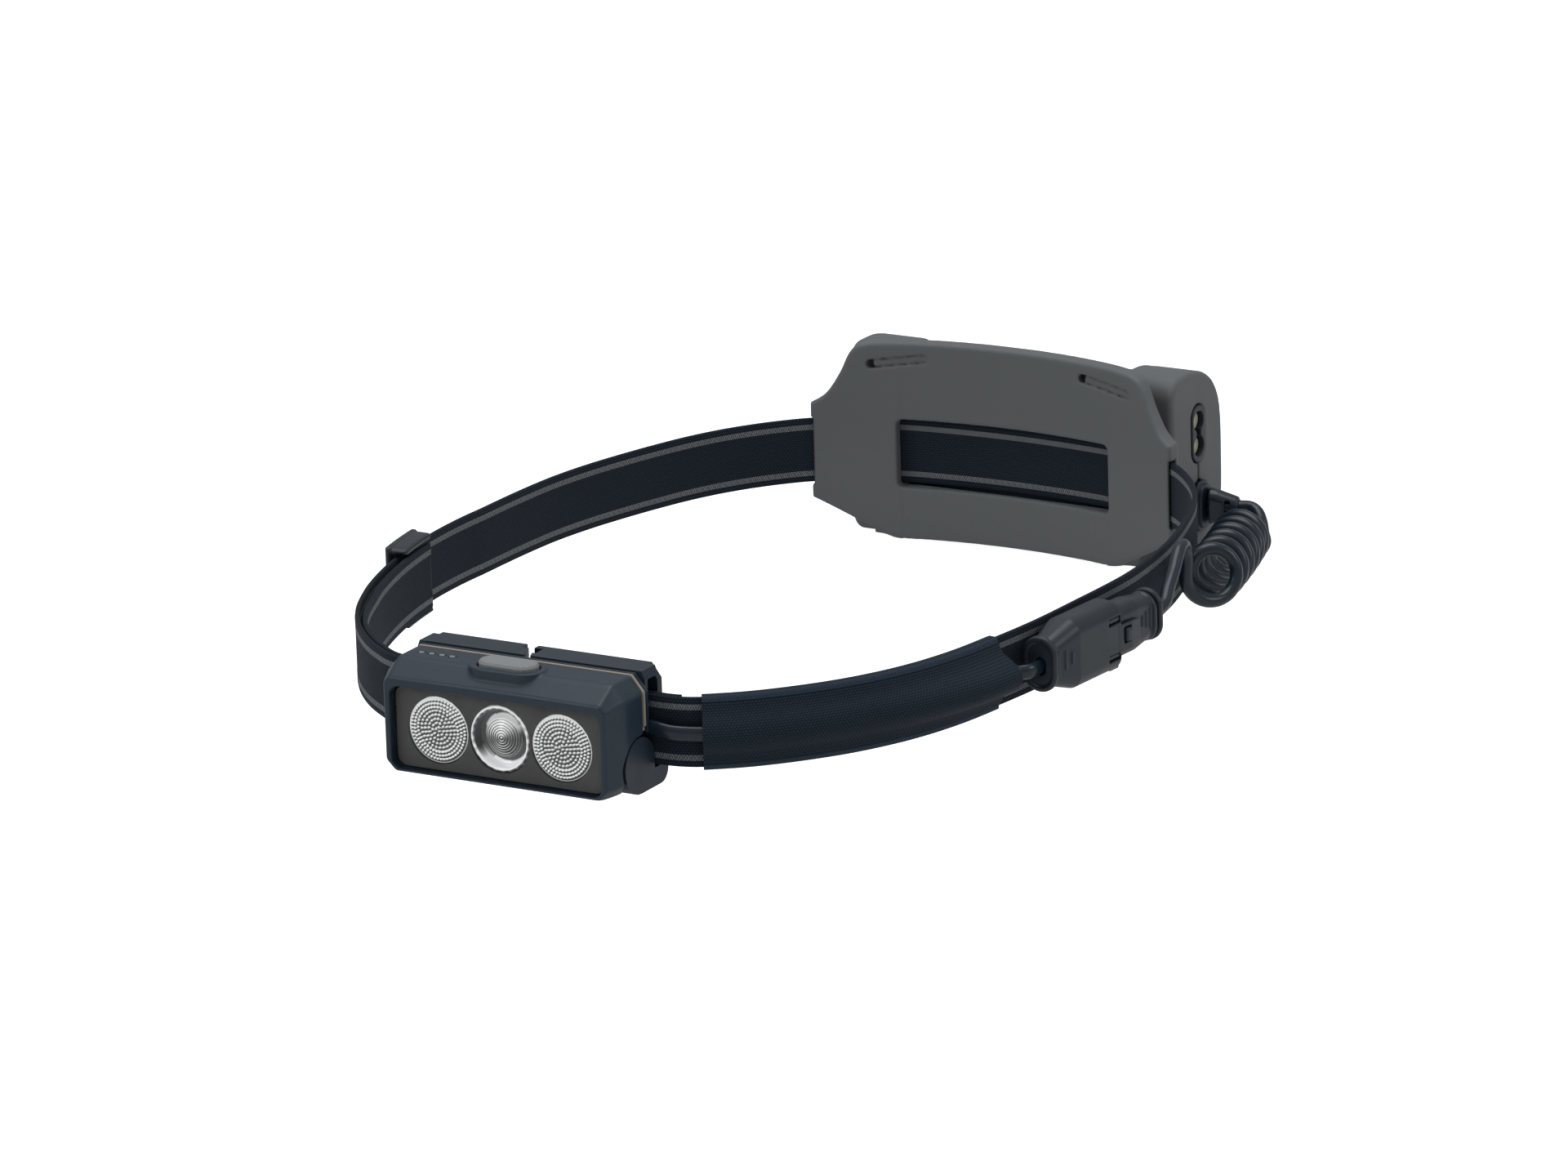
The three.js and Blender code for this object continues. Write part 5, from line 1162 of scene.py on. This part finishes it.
def pillows(r, angle, height, pitch, start, twist):
    """Rings of pillow lenses."""
    ring = np.floor((r - start) / pitch)
    middle = start + (ring + 0.5) * pitch
    count = np.maximum(np.round(2 * np.pi * middle / pitch), 1)
    turn = (angle / (2 * np.pi) * count + 0.5 * (ring % 2) + twist * ring) % 1.0 - 0.5
    dx, dy = r - middle, turn * 2 * np.pi * middle / count
    return height * np.sqrt(np.clip(1 - (dx * dx + dy * dy) / (0.52 * pitch) ** 2, 0, None))


def flood_front(r, angle):
    dome = -118.55 - 0.32 * (1 - (r / LENS_R) ** 2)
    if r < FLOOD_INNER:
        return dome + 0.16 - pillows(r, angle, 0.27, **INNER_PILLOWS)
    if r < FLOOD_OUTER:
        return dome - 0.02 - pillows(r, angle, 0.27, **OUTER_PILLOWS)
    return np.full(angle.shape, dome + 0.05)


def spot_front(r, angle):
    if r < SPOT_LENS:                # domed lens with ring steps
        rise = (r % SPOT_STEP) / SPOT_STEP
        y = -117.45 - 0.75 * (1 - (r / SPOT_LENS) ** 2) + 0.16 * rise
    elif r < SPOT_LIP:
        y = -117.35 + (r - SPOT_LENS) * 3.0
    elif r < SPOT_COLLAR:
        y = -116.5 + 0.35 * math.sin((r - SPOT_LIP) / 1.5 * math.pi)
    elif r < SPOT_WALL:
        y = -116.5 - (r - SPOT_COLLAR) / 0.35 * 2.3
    else:
        y = -118.8 + 0.25 * ((r - 6.65) / 0.45) ** 2
    return np.full(angle.shape, y)


# painted highlight on each pillow lens with painted shade between them, and a painted white rim,
# standing in for the clear lens's reflections
def flood_painted_light(r, angle):
    inner = 0.02 + 0.30 * pillows(r, angle, 1.0, **INNER_PILLOWS)
    outer = 0.14 + 0.56 * pillows(r, angle, 1.0, **OUTER_PILLOWS)
    return np.where(r < FLOOD_INNER, inner, np.where(r < FLOOD_OUTER, outer, 0.85))


# painted light and dark rings on the stepped lens, painted reflection patches on the dark collar,
# and a painted bright rim
def spot_painted_light(r, angle):
    stepped = 0.22 + 0.22 * np.sin(2 * np.pi * r / SPOT_STEP)
    patches = np.where(np.sin(3 * angle + 0.6) > 0.45, 0.42, 0.05)
    return np.select([r < SPOT_LENS, r < SPOT_LIP, r < SPOT_COLLAR, r < SPOT_WALL],
                     [stepped, 0.85, patches, 0.5], 0.80 + 0.15 * np.sin(24 * angle))


def build_lens(name, centre_x, front, back, tone):
    """Lens revolved about its axis, with its painted light (painted highlights, reflections and
    shade) stored as the attribute "tone".
    """
    around = 420
    angle = 2 * math.pi * np.arange(around) / around
    radii = np.linspace(0.0, 1.0, 96)[1:] * LENS_R
    profile = [(r, front(r, angle)) for r in radii]
    profile += [(r, np.full(around, y)) for r, y in back]
    rings = np.array([np.stack([centre_x + r * np.cos(angle), y, WINDOW_Z + r * np.sin(angle)], 1)
                      for r, y in profile])
    front_y = float(front(0.0, np.zeros(1))[0])
    centres = [[centre_x, front_y, WINDOW_Z], [centre_x, back[-1][1], WINDOW_Z]]
    piece = loft(name, rings, centres)
    verts = np.vstack([rings.reshape(-1, 3), centres])
    dx, dz = verts[:, 0] - centre_x, verts[:, 2] - WINDOW_Z
    # painted highlights, reflections and shade of the clear lens, one value per vertex
    values = tone(np.hypot(dx, dz), np.arctan2(dz, dx)).astype(np.float32)
    piece.data.attributes.new("tone", "FLOAT", "POINT").data.foreach_set("value", values)
    return piece


FLOOD, SPOT = (flood_front, FLOOD_BACK, flood_painted_light), (spot_front, SPOT_BACK, spot_painted_light)
for name, centre_x, lens in (("flood_optic_left", -LENS_PITCH, FLOOD),
                             ("spot_optic_centre", 0.0, SPOT),
                             ("flood_optic_right", LENS_PITCH, FLOOD)):
    register(build_lens(name + "_lens", centre_x, *lens), "optic_clear", name, rides="lamp")

# ------------------------------------------------------------------ stage, light, camera (m)
FLOOR_Z = -0.02135
scene = bpy.context.scene


def build_floor():
    mesh = bpy.data.meshes.new("floor")
    corners = [(x, y, FLOOR_Z) for x, y in ((-4, -4), (4, -4), (4, 6), (-4, 6))]
    mesh.from_pydata(corners, [], [(0, 1, 2, 3)])
    floor = bpy.data.objects.new("floor", mesh)
    scene.collection.objects.link(floor)
    material, tree, shader = new_material("floor_white")
    # the floor glows brighter to the camera than it lights the pieces
    to_camera = add_node(tree, "ShaderNodeLightPath").outputs["Is Camera Ray"]
    glow = math_node(tree, "ADD", 0.30, math_node(tree, "MULTIPLY", to_camera, 0.66))
    feed(tree, shader, {"Base Color": (0.42, 0.42, 0.42, 1), "Roughness": 0.9,
                        "Emission Color": (1, 1, 1, 1), "Emission Strength": glow,
                        "Specular IOR Level": 0.0})
    mesh.materials.append(material)


def build_world():
    """White to the camera, grey and brighter upwards to everything else."""
    world = bpy.data.worlds.new("studio")
    scene.world = world
    world.use_nodes = True
    tree = world.node_tree
    direction = add_node(tree, "ShaderNodeTexCoord").outputs["Generated"]
    up = add_node(tree, "ShaderNodeSeparateXYZ", {0: direction}).outputs[2]
    sky = map_range(tree, up, source=(-0.05, 0.60), target=(0.26, 0.50))
    to_camera = add_node(tree, "ShaderNodeLightPath").outputs["Is Camera Ray"]
    strength = math_node(tree, "MAXIMUM", sky, math_node(tree, "MULTIPLY", to_camera, 1.0))
    feed(tree, tree.nodes["Background"], {"Color": (1, 1, 1, 1), "Strength": strength})


def add_softbox(name, place, size, power, target=(0, 0.1, 0)):
    light = bpy.data.lights.new(name, "AREA")
    light.energy = power
    light.shape = "RECTANGLE"
    light.size = light.size_y = size
    lamp = bpy.data.objects.new(name, light)
    scene.collection.objects.link(lamp)
    lamp.location = place
    aim = Vector(target) - Vector(place)
    lamp.rotation_euler = aim.to_track_quat("-Z", "Y").to_euler()


def add_camera():
    data = bpy.data.cameras.new("camera")
    camera = bpy.data.objects.new("camera", data)
    scene.collection.objects.link(camera)
    right, up = Vector((0.8684, 0.49508, -0.02796)), Vector((-0.11863, 0.26217, 0.9577))
    turn = Matrix((right, up, right.cross(up))).transposed()
    place = Vector((0.911973, -1.471012, 0.541092))
    camera.matrix_world = Matrix.Translation(place) @ turn.to_4x4()
    data.sensor_width = 36.0
    data.lens = 201.36
    data.clip_start = 0.05
    data.clip_end = 30
    scene.camera = camera


build_floor()
build_world()
add_softbox("top_softbox", place=(-0.1, 0.2, 1.3), size=1.0, power=10.5)
add_softbox("key_softbox", place=(-0.9, -1.1, 0.9), size=0.6, power=5.5)
add_softbox("rim_softbox", place=(1.3, 0.5, 0.8), size=0.6, power=3.6)
add_camera()
scene.view_settings.view_transform = "Standard"
scene.view_settings.look = "None"
scene.view_settings.exposure = 0.0
